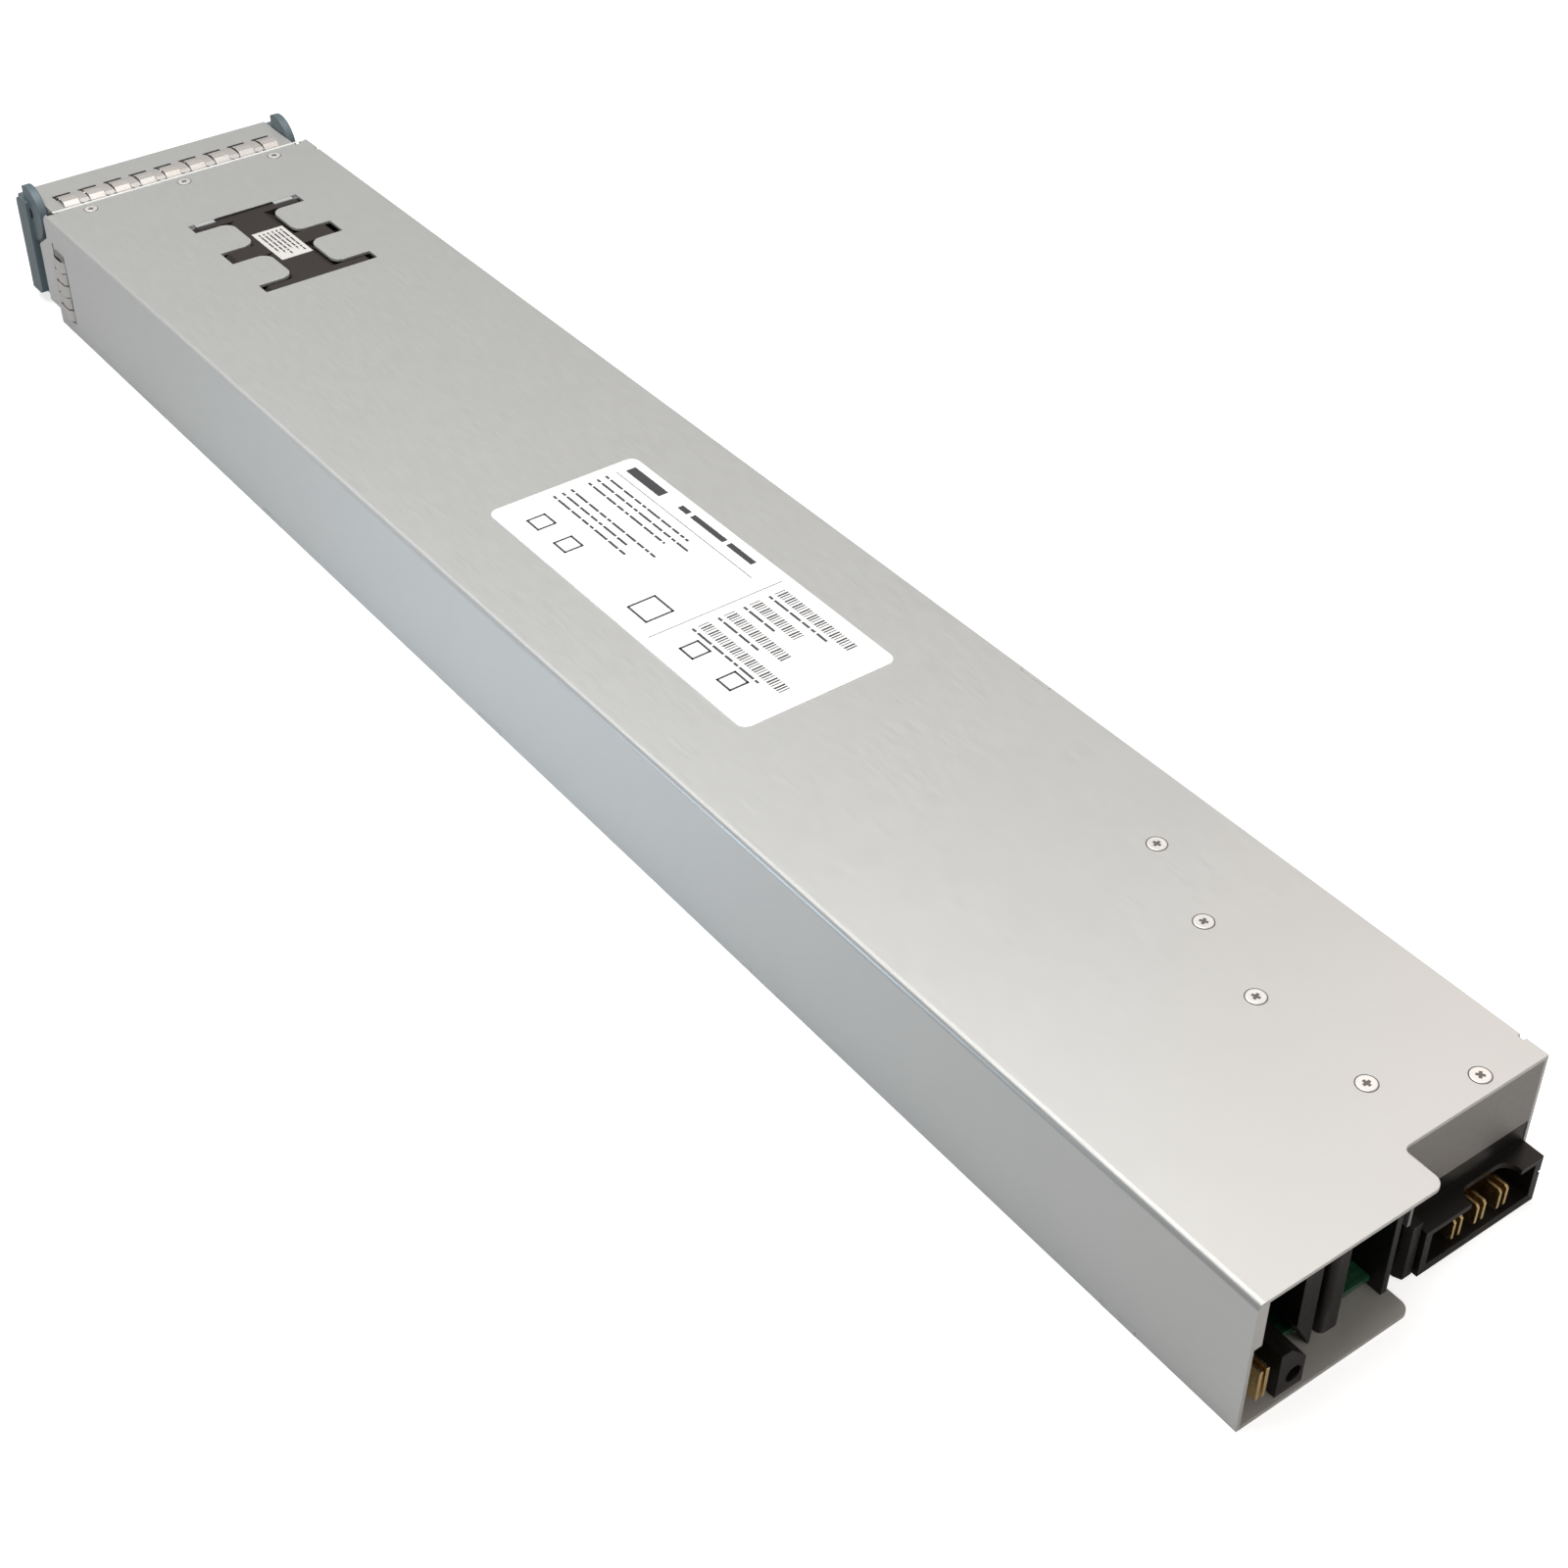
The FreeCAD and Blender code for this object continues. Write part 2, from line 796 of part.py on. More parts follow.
def finger_strip(places, length, high, low):
    """A spring strip in local axes: foot at +Y, high fingers at the places, low ones between."""
    reach = places[-1] + high[0] / 2
    solids = [box((-reach, 0, 0), (reach, finger_foot, finger_sheet))]
    for spots, (wide, rise, dip) in ((places, high), (gaps_between(places), low)):
        for place in spots:
            one = finger(length, rise, dip, wide)
            one.translate(Vector(place, 0, 0))
            solids.append(one)
    return join(solids)


def top_fingers_strip():
    """Spring fingers across the top of the front box."""
    places = finger_spots(top_fingers, finger_pitch)
    strip = finger_strip(places, finger_length, (finger_wide, finger_rise, finger_dip),
                         (finger_narrow, finger_low_rise, 0.0))
    foot = cover_front - finger_back_gap - finger_foot
    strip.translate(Vector(0, foot, box_top))
    reliefs = []
    for x in places:
        for edge in (x + finger_wide / 2, x - finger_wide / 2 - root_relief):
            corner = (edge + root_relief, foot + root_relief, height)
            reliefs.append(box((edge, foot - fit_gap, box_top - 1), corner))
    return strip.cut(reliefs)


def side_fingers_strip(sign):
    """Spring fingers beside the front edge of a side wall, sloping in through its window."""
    places = finger_spots(side_fingers, side_finger_pitch * 2)
    strip = finger_strip(places, side_finger_length, (side_finger_wide, side_finger_rise, side_finger_dip),
                         (side_finger_wide, side_finger_low_rise, side_finger_low_dip))
    strip.rotate(Vector(0, 0, 0), Vector(0, 0, 1), 180)
    strip.rotate(Vector(0, 0, 0), Vector(0, 1, 0), 90)
    window_front = cover_front + side_window_back - side_window_length
    strip.translate(Vector(side, window_front, side_finger_middle))
    return strip if sign > 0 else strip.mirror(Vector(0, 0, 0), Vector(1, 0, 0))


def rounded_label(low, high, thick, corner):
    """A thin label with rounded corners, lying on a surface."""
    shape = box(low, (high[0], high[1], low[2] + thick))
    return round_edges(shape, corner, lambda point, edge: upright(edge))


def rating_label():
    """Blank label on the cover."""
    start = cover_front + cover_length * label_start
    left = label_offset - label_width / 2
    return rounded_label((left, start, height), (left + label_width, start + label_length),
                         label_thickness, label_corner)


def fan_label():
    """Small blank label on the fan's barrel, seen through the opening."""
    half_wide, half_long = fan_label_width / 2, fan_label_length / 2
    return box((fan_offset - half_wide, fan_joint - half_long, fan_top),
               (fan_offset + half_wide, fan_joint + half_long, fan_top + label_thickness))


def cut_square(half, corner, middle, push):
    """A square plate across the unit with its corners cut off."""
    short = half - corner
    steps = [(half, -short), (half, short), (short, half), (-short, half),
             (-half, short), (-half, -short), (-short, -half), (short, -half)]
    return plate([Vector(*middle) + Vector(right, 0, up) for right, up in steps], push)


def fan_frame(start, flanges, faces):
    """One fan frame: square flanges, a twelve-sided barrel, struts and a bearing tube."""
    half = fan_size / 2
    length = fan_length / 2
    reach = half / math.cos(math.pi / barrel_sides)
    solids = [prism(barrel_sides, reach, (fan_offset, start, fan_z), (0, length, 0))]
    for flange in flanges:
        solids.append(cut_square(half, fan_corner, (fan_offset, flange, fan_z), (0, fan_flange, 0)))
    bore = rod(fan_bore, (fan_offset, start - 1, fan_z), (fan_offset, start + length + 1, fan_z))
    shape = join(solids).cut(bore)
    far = fan_joint + faces * spider_thickness
    base_push = (0, faces * spider_thickness, 0)
    spider = [prism(barrel_sides, hub_radius, (fan_offset, fan_joint, fan_z), base_push)]
    for number in range(strut_count):
        strut = box((fan_offset - strut_width / 2, min(fan_joint, far), fan_z + hub_radius - 1),
                    (fan_offset + strut_width / 2, max(fan_joint, far), fan_z + fan_bore + fan_wall / 2))
        strut.rotate(Vector(fan_offset, 0, fan_z), Vector(0, 1, 0), 360.0 * number / strut_count)
        spider.append(strut)
    tube_end = far + faces * bearing_length
    spider.append(rod(bearing_radius, (fan_offset, far, fan_z), (fan_offset, tube_end, fan_z)))
    shaft_hole = rod(shaft_radius + running_fit, (fan_offset, far, fan_z),
                     (fan_offset, tube_end + faces, fan_z))
    return join([shape] + spider).cut(shaft_hole)


def front_fan_frame():
    """Frame of the fan stage nearer the handle."""
    return fan_frame(fan_front, [fan_front, fan_joint - fan_flange], -1)


def rear_fan_frame():
    """Frame of the fan stage nearer the connectors."""
    return fan_frame(fan_joint, [fan_joint, fan_rear - fan_flange], 1)


def fan_stator(faces):
    """Four-pole motor core on the bearing tube."""
    start = fan_joint + faces * spider_thickness
    end = start + faces * stator_length
    near, far = sorted((start, end))
    pole = stator_pole / 2
    core = join([box((fan_offset - wide, near, fan_z - tall), (fan_offset + wide, far, fan_z + tall))
                 for wide, tall in ((stator_radius, pole), (pole, stator_radius))])
    hole = rod(bearing_radius + running_fit, (fan_offset, start - faces, fan_z),
               (fan_offset, end + faces, fan_z))
    return core.cut(hole)


def fan_stators():
    """Both motor cores."""
    return Part.makeCompound([fan_stator(-1), fan_stator(1)])


def fan_rotor(faces):
    """Impeller: an open hub with pitched blades, on a shaft that turns in the bearing tube."""
    spider_face = fan_joint + faces * spider_thickness
    open_end = spider_face + faces * rotor_gap
    closed_end = open_end + faces * hub_length
    hub = rod(hub_radius, (fan_offset, open_end, fan_z), (fan_offset, closed_end, fan_z))
    hollow = rod(hub_radius - hub_wall, (fan_offset, open_end - faces, fan_z),
                 (fan_offset, closed_end - faces * hub_wall, fan_z))
    middle = (open_end + closed_end) / 2
    tip = math.sqrt((fan_bore - blade_gap) ** 2 - (blade_chord / 2) ** 2)
    half_chord, half_sheet = blade_chord / 2, blade_sheet / 2
    blades = []
    for number in range(blade_count):
        blade = box((fan_offset - half_sheet, middle - half_chord, fan_z + hub_radius - hub_wall / 2),
                    (fan_offset + half_sheet, middle + half_chord, fan_z + tip))
        blade.rotate(Vector(fan_offset, middle, fan_z), Vector(0, 0, 1), faces * blade_pitch)
        blade.rotate(Vector(fan_offset, 0, fan_z), Vector(0, 1, 0), 360.0 * number / blade_count)
        blades.append(blade)
    shaft = rod(shaft_radius, (fan_offset, spider_face + faces * rotor_gap / 2, fan_z),
                (fan_offset, closed_end - faces * hub_wall / 2, fan_z))
    return join([hub.cut(hollow)] + blades + [shaft])


def fan_bracket():
    """Thin baffle in front of the fan, with two tabs bent over its flange."""
    front, rear = fan_front - bracket_sheet, fan_front
    baffle = box((-inner_edge, front, sheet), (inner_edge, rear, inner_top))
    mouth = cut_square(fan_bore, bracket_corner, (fan_offset, front - 1, fan_z), (0, bracket_sheet + 2, 0))
    tabs = []
    for sign in (-1, 1):
        middle = fan_offset + sign * bracket_tab_offset
        low, high = middle - bracket_tab_width / 2, middle + bracket_tab_width / 2
        tabs.append(box((low, front, inner_top - 1), (high, rear, height)))
        tabs.append(box((low, front, fan_top), (high, rear + bracket_tab_lap, height)))
    return join([baffle.cut(mouth)] + tabs)


def rear_bulkhead():
    """Metal wall across the notch above the input connector."""
    wall = box((-inner_side + fit_gap, wall_line - sheet, wall_bottom),
               (notch_edge - sheet, wall_line, inner_top))
    cheek = box((notch_edge - sheet, wall_line - sheet, wall_bottom),
                (notch_edge, cover_rear - output_back, inner_top))
    lip = box((-inner_side + fit_gap, wall_line - bulkhead_lip, inner_top - sheet),
              (notch_edge - sheet, wall_line, inner_top))
    return join([wall, cheek, lip])


def input_connector():
    """Moulded housing of the mains input: a flat nose with a stepped, notched mouth."""
    face = wall_line + input_out
    nose = box((input_left, wall_line, 0), (input_right, face, input_nose_top))
    body = box((-inner_edge, wall_line - input_depth, sheet), (input_right, wall_line, wall_bottom))
    shape = join([nose, body])
    back = face - cavity_depth
    cavity = box((input_left + input_wall, back, input_floor),
                 (input_right - input_wall, face + 1, cavity_top))
    notch = box((input_notch[0], face - input_notch_depth, cavity_top - 1),
                (input_notch[1], face + 1, input_nose_top + 1))

    def rear_corner(point, edge):
        return upright(edge) and abs(point.y - face + input_notch_depth) < 0.01

    notch = round_edges(notch, input_notch_corner, rear_corner)
    slot = box((input_left - 1, wall_line + input_slot_inset, input_slot_bottom),
               (input_left + input_slot_depth, face + 1, input_slot_bottom + input_slot_height))
    half = blade_thickness / 2
    tails = [box((x - half, back - input_depth, blade_bottom), (x + half, back + 1, blade_top))
             for x in blade_places()]
    return shape.cut([cavity, notch, slot] + tails)


def blade_places():
    """Middles of the six input blades."""
    return [x + sign * blade_spacing / 2 for x in blade_spots for sign in (-1, 1)]


def input_blades():
    """Three pairs of gold-plated blades in the input connector."""
    tip = wall_line + input_out - blade_tip_inset
    tail = wall_line - input_depth - blade_tail
    blades = []
    for x in blade_places():
        half = blade_thickness / 2
        outline = [(tail, blade_bottom), (tip - blade_thickness, blade_bottom),
                   (tip, blade_bottom + blade_thickness),
                   (tip, blade_top - blade_thickness), (tip - blade_thickness, blade_top), (tail, blade_top)]
        blades.append(plate([(x - half, y, z) for y, z in outline], (blade_thickness, 0, 0)))
    return Part.makeCompound(blades)


def guide_post():
    """Moulded post beside the input connector, with one corner cut back."""
    rear = cover_rear - post_out
    front = rear - post_length
    outline = [(post_left, front), (post_right, front), (post_right, rear - post_chamfer[1]),
               (post_right - post_chamfer[0], rear), (post_left, rear)]
    shape = plate([(x, y, post_bottom) for x, y in outline], (0, 0, post_top - post_bottom))
    return shape.cut(box((post_left - 1, front - 1, -1), (post_right + 1, wall_line, sheet)))


def partition_wall():
    """Upright divider between the output bay and the input side."""
    rear = cover_rear - output_back
    front = rear - output_depth
    wall = box((partition_right, front, sheet), (partition_left, rear, inner_top))
    foot = box((partition_left, front, sheet), (partition_left + foot_width, front + foot_length,
                                                sheet + foot_thickness))
    return join([wall, foot])


def board_clearance():
    """The space that the output board takes, with a fit all round."""
    return box((partition_left, cover_rear - output_board_back - output_board_length - fit_gap, sheet),
               (inner_side, cover_rear - output_board_back + fit_gap, output_board_top))


def output_housing():
    """Moulded carrier in the output bay: a back wall, a rib and a tapered blade down to the floor."""
    rear = cover_rear - output_back
    back = rear - output_depth
    high = inner_top
    wall = box((partition_left, back, output_board_top), (inner_edge, back + output_wall, high))
    rib = box((rib_left, back, sheet), (rib_right, rear, high))
    rib = round_edges(rib, rib_corner, lambda point, edge: abs(point.y - rear) < 0.01 and upright(edge))
    taper = plate([(wedge_left, back, sheet), (wedge_right, back, wedge_rise), (wedge_right, back, high),
                   (wedge_left, back, high)], (0, rear - back, 0))
    hood = box((rib_right, back, high - hood_thickness),
               (inner_side - return_width - sheet, rear - hood_inset, high))
    half = contact_sheet / 2 + fit_gap
    cuts = [box((x - half, back - 1, power_blade_bottom - fit_gap),
                (x + half, back + output_wall + 1, power_blade_bottom + power_blade_height + fit_gap))
            for x in power_blades]
    cuts.append(box((block_left - 1, back - 1, sheet),
                    (inner_side + 1, back + output_wall + 1, block_top + output_gap)))
    return join([wall, rib, taper, hood]).cut(cuts + [board_clearance()])


def power_contacts():
    """Copper blades of the output, deep in the bay."""
    rear = cover_rear - power_blade_back
    half = contact_sheet / 2
    return Part.makeCompound([box((x - half, rear - power_blade_length, power_blade_bottom),
                                  (x + half, rear, power_blade_bottom + power_blade_height))
                              for x in power_blades])


def guide_block():
    """Moulded block at the floor of the output bay, with the guide pin's hole."""
    rear = cover_rear - block_back
    front = rear - block_length
    outline = [(block_left, sheet), (block_right, sheet), (block_right, block_top),
               (block_right - block_flat, block_top), (block_left, block_shoulder)]
    shape = plate([(x, front, z) for x, z in outline], (0, block_length, 0))
    hole = rod(guide_hole_radius, (guide_hole_x, rear - guide_hole_depth, guide_hole_z),
               (guide_hole_x, rear + 1, guide_hole_z))
    clearance = box((block_left - 1, front - 1, output_board_height - fit_gap),
                    (block_right + 1, cover_rear - output_board_back + fit_gap, output_board_top + fit_gap))
    return shape.cut([hole, clearance])


def signal_contact():
    """Folded gold-plated contact beside the guide block."""
    rear = cover_rear - contact_back
    front = rear - contact_length
    leaves = [box((contact_left, front, contact_bottom), (contact_left + contact_sheet, rear, contact_top)),
              box((contact_right - contact_sheet, front, contact_bottom), (contact_right, rear, contact_top))]
    bridge = box((contact_left, front, output_board_top), (contact_right, front + contact_sheet, contact_top))
    return join(leaves + [bridge])


def output_board():
    """Small board low in the output bay."""
    rear = cover_rear - output_board_back
    return box((partition_left + fit_gap, rear - output_board_length, output_board_height),
               (inner_side - board_side_gap, rear, output_board_top))


def board_blocks():
    """Pads that hold the output board off the floor."""
    rear = cover_rear - output_board_back
    places = [(x, y) for x in (partition_left + pad_inset, block_right + standoff_radius + pad_gap)
              for y in (rear - output_board_length + standoff_inset, rear - pad_inset)]
    return Part.makeCompound([prism(6, standoff_radius, (x, y, sheet), (0, 0, output_board_height - sheet))
                              for x, y in places])


def standoff_places():
    """Places of the pillars under the main board."""
    edge = inner_side - board_side_gap - standoff_inset
    step = (board_length - 2 * standoff_inset) / (standoff_rows - 1)
    return [(sign * edge, board_front + standoff_inset + step * row)
            for row in range(standoff_rows) for sign in (-1, 1)]


def main_board():
    """The long circuit board."""
    edge = inner_side - board_side_gap
    return box((-edge, board_front, board_height), (edge, board_front + board_length, board_top))


def board_standoffs():
    """Hexagonal pillars that hold the main board off the floor."""
    return Part.makeCompound([prism(6, standoff_radius, (x, y, sheet), (0, 0, board_height - sheet))
                              for x, y in standoff_places()])


def bulk_capacitors():
    """Large cans lying along the board."""
    radius = head_room * capacitor_height / 2
    x, z = across(capacitor_lane), board_top + radius
    cans = []
    for number in range(capacitor_count):
        start = along(capacitor_start + number * capacitor_pitch)
        cans.append(rod(radius, (x, start, z), (x, start + board_length * capacitor_length, z)))
    return Part.makeCompound(cans)


def transformers():
    """Power transformers: a framed core with a winding through it."""
    wide, long = transformer_size
    tall = head_room * transformer_height
    left, right = across(transformer_lane) - wide / 2, across(transformer_lane) + wide / 2
    built = []
    for number in range(transformer_count):
        start = along(transformer_start + number * transformer_pitch)
        core = box((left, start, board_top), (right, start + long, board_top + tall))
        far = start + long + winding_out
        winding = box((left + transformer_leg, start - winding_out, board_top + transformer_leg),
                      (right - transformer_leg, far, board_top + tall - transformer_leg))
        built.append(join([core, winding]))
    return Part.makeCompound(built)


def toroid(x, y, radius, thickness):
    """A wound ring standing on its edge across the board."""
    z = board_top + radius
    core = radius - turns_bulge
    hole = core * toroid_hole
    ring = rod(core, (x, y - thickness / 2, z), (x, y + thickness / 2, z))
    ring = ring.cut(rod(hole, (x, y - thickness, z), (x, y + thickness, z)))
    half, end = turn_width / 2, thickness / 2 + turns_bulge / 2
    turns = []
    for number in range(turn_count):
        coil = box((x - half, y - end, z + hole), (x + half, y + end, z + radius))
        coil.rotate(Vector(x, y, z), Vector(0, 1, 0), 180 + 360.0 * number / turn_count)
        turns.append(coil)
    return join([ring] + turns)


def boost_choke():
    """Wound ring of the boost stage."""
    return toroid(across(choke_lane), along(choke_start), head_room * choke_height / 2, choke_thickness)


def filter_choke():
    """Wound ring of the input filter."""
    return toroid(across(choke_lane), along(filter_start), head_room * filter_height / 2, filter_thickness)


def row_of(count, start, pitch):
    """Distances along the unit of a row of parts."""
    return [along(start + number * pitch) for number in range(count)]


def block_row(size, tall, starts, lane):
    """Upright moulded blocks on the main board."""
    wide, long = size
    left = across(lane) - wide / 2
    return Part.makeCompound([box((left, start, board_top), (left + wide, start + long, board_top + tall))
                              for start in starts])


def film_capacitors():
    """Box-shaped film capacitors of the input filter."""
    starts = row_of(film_count, film_start, film_pitch)
    return block_row(film_size, head_room * film_height, starts, film_lane)


def relay():
    """Inrush relay."""
    return block_row(relay_size, head_room * film_height, row_of(1, relay_start, 0), relay_lane)


def output_chokes():
    """Moulded chokes of the output stage."""
    return block_row(output_choke_size, head_room * output_choke_height,
                     row_of(output_choke_count, output_choke_start, output_choke_pitch), output_choke_lane)


def heatsink(lane, faces):
    """Upright aluminium bar with cooling fins on one face."""
    start, end = along(sink_start), along(sink_start + sink_length)
    half = sink_sheet / 2
    tall = head_room * sink_height
    solids = [box((lane - half, start, board_top), (lane + half, end, board_top + tall))]
    step = (tall - sink_fin_sheet) / (sink_fins - 1)
    near, far = lane + faces * half, lane + faces * (half + sink_fin_length)
    for number in range(sink_fins):
        z = board_top + number * step
        solids.append(box((min(near, far), start, z), (max(near, far), end, z + sink_fin_sheet)))
    return join(solids)


def heatsinks():
    """The two heatsinks, with their fins facing each other."""
    left, right = sink_lanes
    return Part.makeCompound([heatsink(across(left), 1), heatsink(across(right), -1)])


def power_transistors():
    """Transistor packages clamped to the plain faces of the heatsinks."""
    long, thick, tall = transistor_size
    low = board_top + transistor_lift
    built = []
    for lane, faces in zip(sink_lanes, (-1, 1)):
        face = across(lane) + faces * sink_sheet / 2
        left, right = sorted((face, face + faces * thick))
        for y in row_of(transistor_count, sink_start + transistor_inset, transistor_pitch):
            built.append(box((left, y, low), (right, y + long, low + tall)))
    return Part.makeCompound(built)


def output_capacitors():
    """A row of upright cans near the output."""
    x, top = across(output_cap_lane), board_top + head_room * output_cap_height
    return Part.makeCompound([rod(output_cap_radius, (x, y, board_top), (x, y, top))
                              for y in row_of(output_cap_count, output_cap_start, output_cap_pitch)])


def bus_bars():
    """Copper bars that carry the output current along the board."""
    start, end = along(bus_start), along(bus_end)
    half = bus_sheet / 2
    return Part.makeCompound([box((across(lane) - half, start, board_top),
                                  (across(lane) + half, end, board_top + bus_height)) for lane in bus_lanes])


def control_card():
    """Upright control board with its chips."""
    low = across(card_lane) - card_sheet / 2
    high = low + card_sheet
    card = box((low, along(card_start), board_top),
               (high, along(card_start + card_length), board_top + head_room * card_height))
    thick, long, tall = card_chip
    foot = board_top + card_chip_lift
    chips = [box((high, y, foot), (high + thick, y + long, foot + tall))
             for y in row_of(card_chips, card_start + card_chip_inset, card_chip_pitch)]
    return join([card] + chips)


PIECES = {
    "top_cover": top_cover,
    "base_tray": base_tray,
    "front_box": front_box,
    "front_grille": front_grille,
    "screw_socket": screw_socket,
    "status_lights": status_lights,
    "handle": handle,
    "handle_pivot_pins": pivot_pins,
    "captive_screw": captive_screw,
    "top_spring_fingers": top_fingers_strip,
    "left_spring_fingers": lambda: side_fingers_strip(1),
    "right_spring_fingers": lambda: side_fingers_strip(-1),
    "rating_label": rating_label,
    "fan_label": fan_label,
    "fan_frame_front": front_fan_frame,
    "fan_frame_rear": rear_fan_frame,
    "fan_motor_cores": fan_stators,
    "fan_rotor_front": lambda: fan_rotor(-1),
    "fan_rotor_rear": lambda: fan_rotor(1),
    "fan_bracket": fan_bracket,
    "rear_bulkhead": rear_bulkhead,
    "input_connector": input_connector,
    "input_blades": input_blades,
    "guide_post": guide_post,
    "partition_wall": partition_wall,
    "output_housing": output_housing,
    "power_contacts": power_contacts,
    "guide_block": guide_block,
    "signal_contact": signal_contact,
    "output_board": output_board,
    "output_board_pads": board_blocks,
    "main_board": main_board,
    "board_standoffs": board_standoffs,
    "bulk_capacitors": bulk_capacitors,
    "transformers": transformers,
    "boost_choke": boost_choke,
    "filter_choke": filter_choke,
    "film_capacitors": film_capacitors,
    "input_relay": relay,
    "output_chokes": output_chokes,
    "heatsinks": heatsinks,
    "power_transistors": power_transistors,
    "output_capacitors": output_capacitors,
    "bus_bars": bus_bars,
    "control_card": control_card,
}

for name, build in PIECES.items():
    shape = build()
    shape.exportStep(f"parts/{name}.step")
    print(name, len(shape.Solids), shape.isValid(), round(shape.Volume, 1))
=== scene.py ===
import math

import bmesh
import bpy
from mathutils import Matrix, Vector

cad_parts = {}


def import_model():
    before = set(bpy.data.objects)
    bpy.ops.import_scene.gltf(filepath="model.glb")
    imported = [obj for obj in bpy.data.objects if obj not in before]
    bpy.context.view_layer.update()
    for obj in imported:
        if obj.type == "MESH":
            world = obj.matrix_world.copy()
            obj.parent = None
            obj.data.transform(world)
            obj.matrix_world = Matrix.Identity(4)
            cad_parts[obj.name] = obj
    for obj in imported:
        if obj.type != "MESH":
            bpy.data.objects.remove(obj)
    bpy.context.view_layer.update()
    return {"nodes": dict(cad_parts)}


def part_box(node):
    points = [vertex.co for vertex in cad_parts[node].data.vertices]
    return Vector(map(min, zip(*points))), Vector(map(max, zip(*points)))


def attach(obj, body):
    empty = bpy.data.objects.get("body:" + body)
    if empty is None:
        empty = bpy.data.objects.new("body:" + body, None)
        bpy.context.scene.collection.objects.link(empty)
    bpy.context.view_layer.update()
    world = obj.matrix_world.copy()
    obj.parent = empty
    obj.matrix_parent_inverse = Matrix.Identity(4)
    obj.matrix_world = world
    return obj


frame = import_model()
nodes = frame["nodes"]
BODY = "chassis"

# Camera, in metres and degrees, fitted to the photograph
CAMERA_PLACE = (0.31988, 0.51867, 0.43958)
CAMERA_AZIMUTH = 143.302
CAMERA_ELEVATION = 39.325
CAMERA_ROLL = 0.22
CAMERA_LENS = 58.218
SENSOR = 36.0
CLIP_START = 0.01

# Colours, as linear values
STEEL = (0.56, 0.56, 0.545)
# Painted shade for the casing's bends
BEND_SHADE = (0.33, 0.33, 0.32)
# The casing's sheet painted darker as shade, for the sheet inside
STEEL_SHADED = (0.26, 0.25, 0.24)
# Painted highlight along the cover's front edge
EDGE_HIGHLIGHT = (0.80, 0.80, 0.78)
TIN = (0.53, 0.50, 0.47)
HANDLE_GREY = (0.115, 0.150, 0.165)
NICKEL = (0.70, 0.69, 0.66)
SCREW_NICKEL = (0.74, 0.72, 0.69)
BLACK = (0.0075, 0.0065, 0.006)
FAN_BLACK = (0.026, 0.020, 0.0175)
PIPE_WHITE = (0.62, 0.66, 0.62)
PAPER = (0.90, 0.89, 0.88)
FAN_PAPER = (0.62, 0.60, 0.58)
INK = (0.05, 0.05, 0.055)
BRACKET = (0.74, 0.76, 0.76)
GOLD = (0.95, 0.70, 0.33)
COPPER = (0.72, 0.36, 0.22)
BOARD_GREEN = (0.014, 0.062, 0.032)
SLEEVE = (0.02, 0.02, 0.03)
CAN = (0.66, 0.67, 0.68)
FERRITE = (0.035, 0.035, 0.036)
ENAMEL = (0.42, 0.14, 0.05)
FILM_YELLOW = (0.60, 0.38, 0.04)
ALUMINIUM = (0.60, 0.61, 0.62)
CORE = (0.16, 0.15, 0.14)
BRASS = (0.62, 0.44, 0.16)
FLOOR = (0.46, 0.46, 0.46)

# Painted shade on the casing's lengthwise bends, to tone down their highlight: from a flat face to a slanted
# one, and the stretch along the unit, in metres, over which the painted shade grows
BEND_SLANT = (0.04, 0.25)
BEND_REACH = (-0.10, 0.20)

# Patterns of the board's tracks, the wound wire and the clear plastic
TRACK_SCALE = 120.0
TRACK_LIGHT = 1.35
TRACK_GAP = 0.6
WIRE_SCALE = 260.0
WIRE_SLACK = 0.6
PIPE_CLARITY = 0.35
SLOW_SHARE = 1 / 40

# Lamps: name, place, aim, size, power in watts, colour
LAMPS = (
    ("above", (0.16, -0.17, 1.15), (0.0, -0.06, 0.0), (1.0, 1.0), 19.0, (1.0, 1.0, 0.995)),
    ("above_rear", (-0.55, 0.08, 0.60), (-0.04, 0.28, 0.04), (0.30, 0.30), 0.53, (1.0, 0.83, 0.76)),
    ("side", (0.28, 0.015, 0.055), (0.05, 0.015, 0.02), (0.16, 0.07), 0.31, (0.68, 0.84, 1.0)),
    ("connectors", (-0.02, 0.60, 0.27), (0.0, 0.31, 0.01), (0.22, 0.15), 0.56, (1.0, 0.90, 0.82)),
)
SURROUND = 0.22
FLOOR_LIFT = 0.72
FLOOR_HALF = 6.0
FLOOR_ROUGHNESS = 0.9

# Screws in the cover, in metres and degrees: the rear ones have their place across, their
# distance from the cover's edge at the connectors and their turn, and the front ones
# stand in one row and have their place across and their turn
REAR_SCREWS = ((-0.0299, 0.1157, 12), (-0.0196, 0.0888, 31), (-0.0116, 0.0636, 20), (-0.0118, 0.0300, 3),
               (-0.0336, 0.0170, 40))
REAR_SCREW_RADIUS = 0.00245
FRONT_SCREWS = ((-0.035, 15), (0.0, 35), (0.035, 5))
FRONT_SCREW_RADIUS = 0.0022
FRONT_SCREW_ROW = 0.0052
LABEL_START = 0.2475
SCREW_SIDES = 40
SCREW_MIDDLE = 0.0001
SEAT_SHARE = 1.13
SEAT_RISE = 0.00003
HEAD_RISE = 0.00016
HEAD_SHOULDER = 0.6
HEAD_FACE = 0.93
HEAD_DISH = 0.9
CROSS_REACH = 0.46
CROSS_HALF = 0.17
CROSS_RISE = 1.04
# Painted shade in the screws' seat rings and cross recesses
SHADOW = (0.10, 0.095, 0.09)
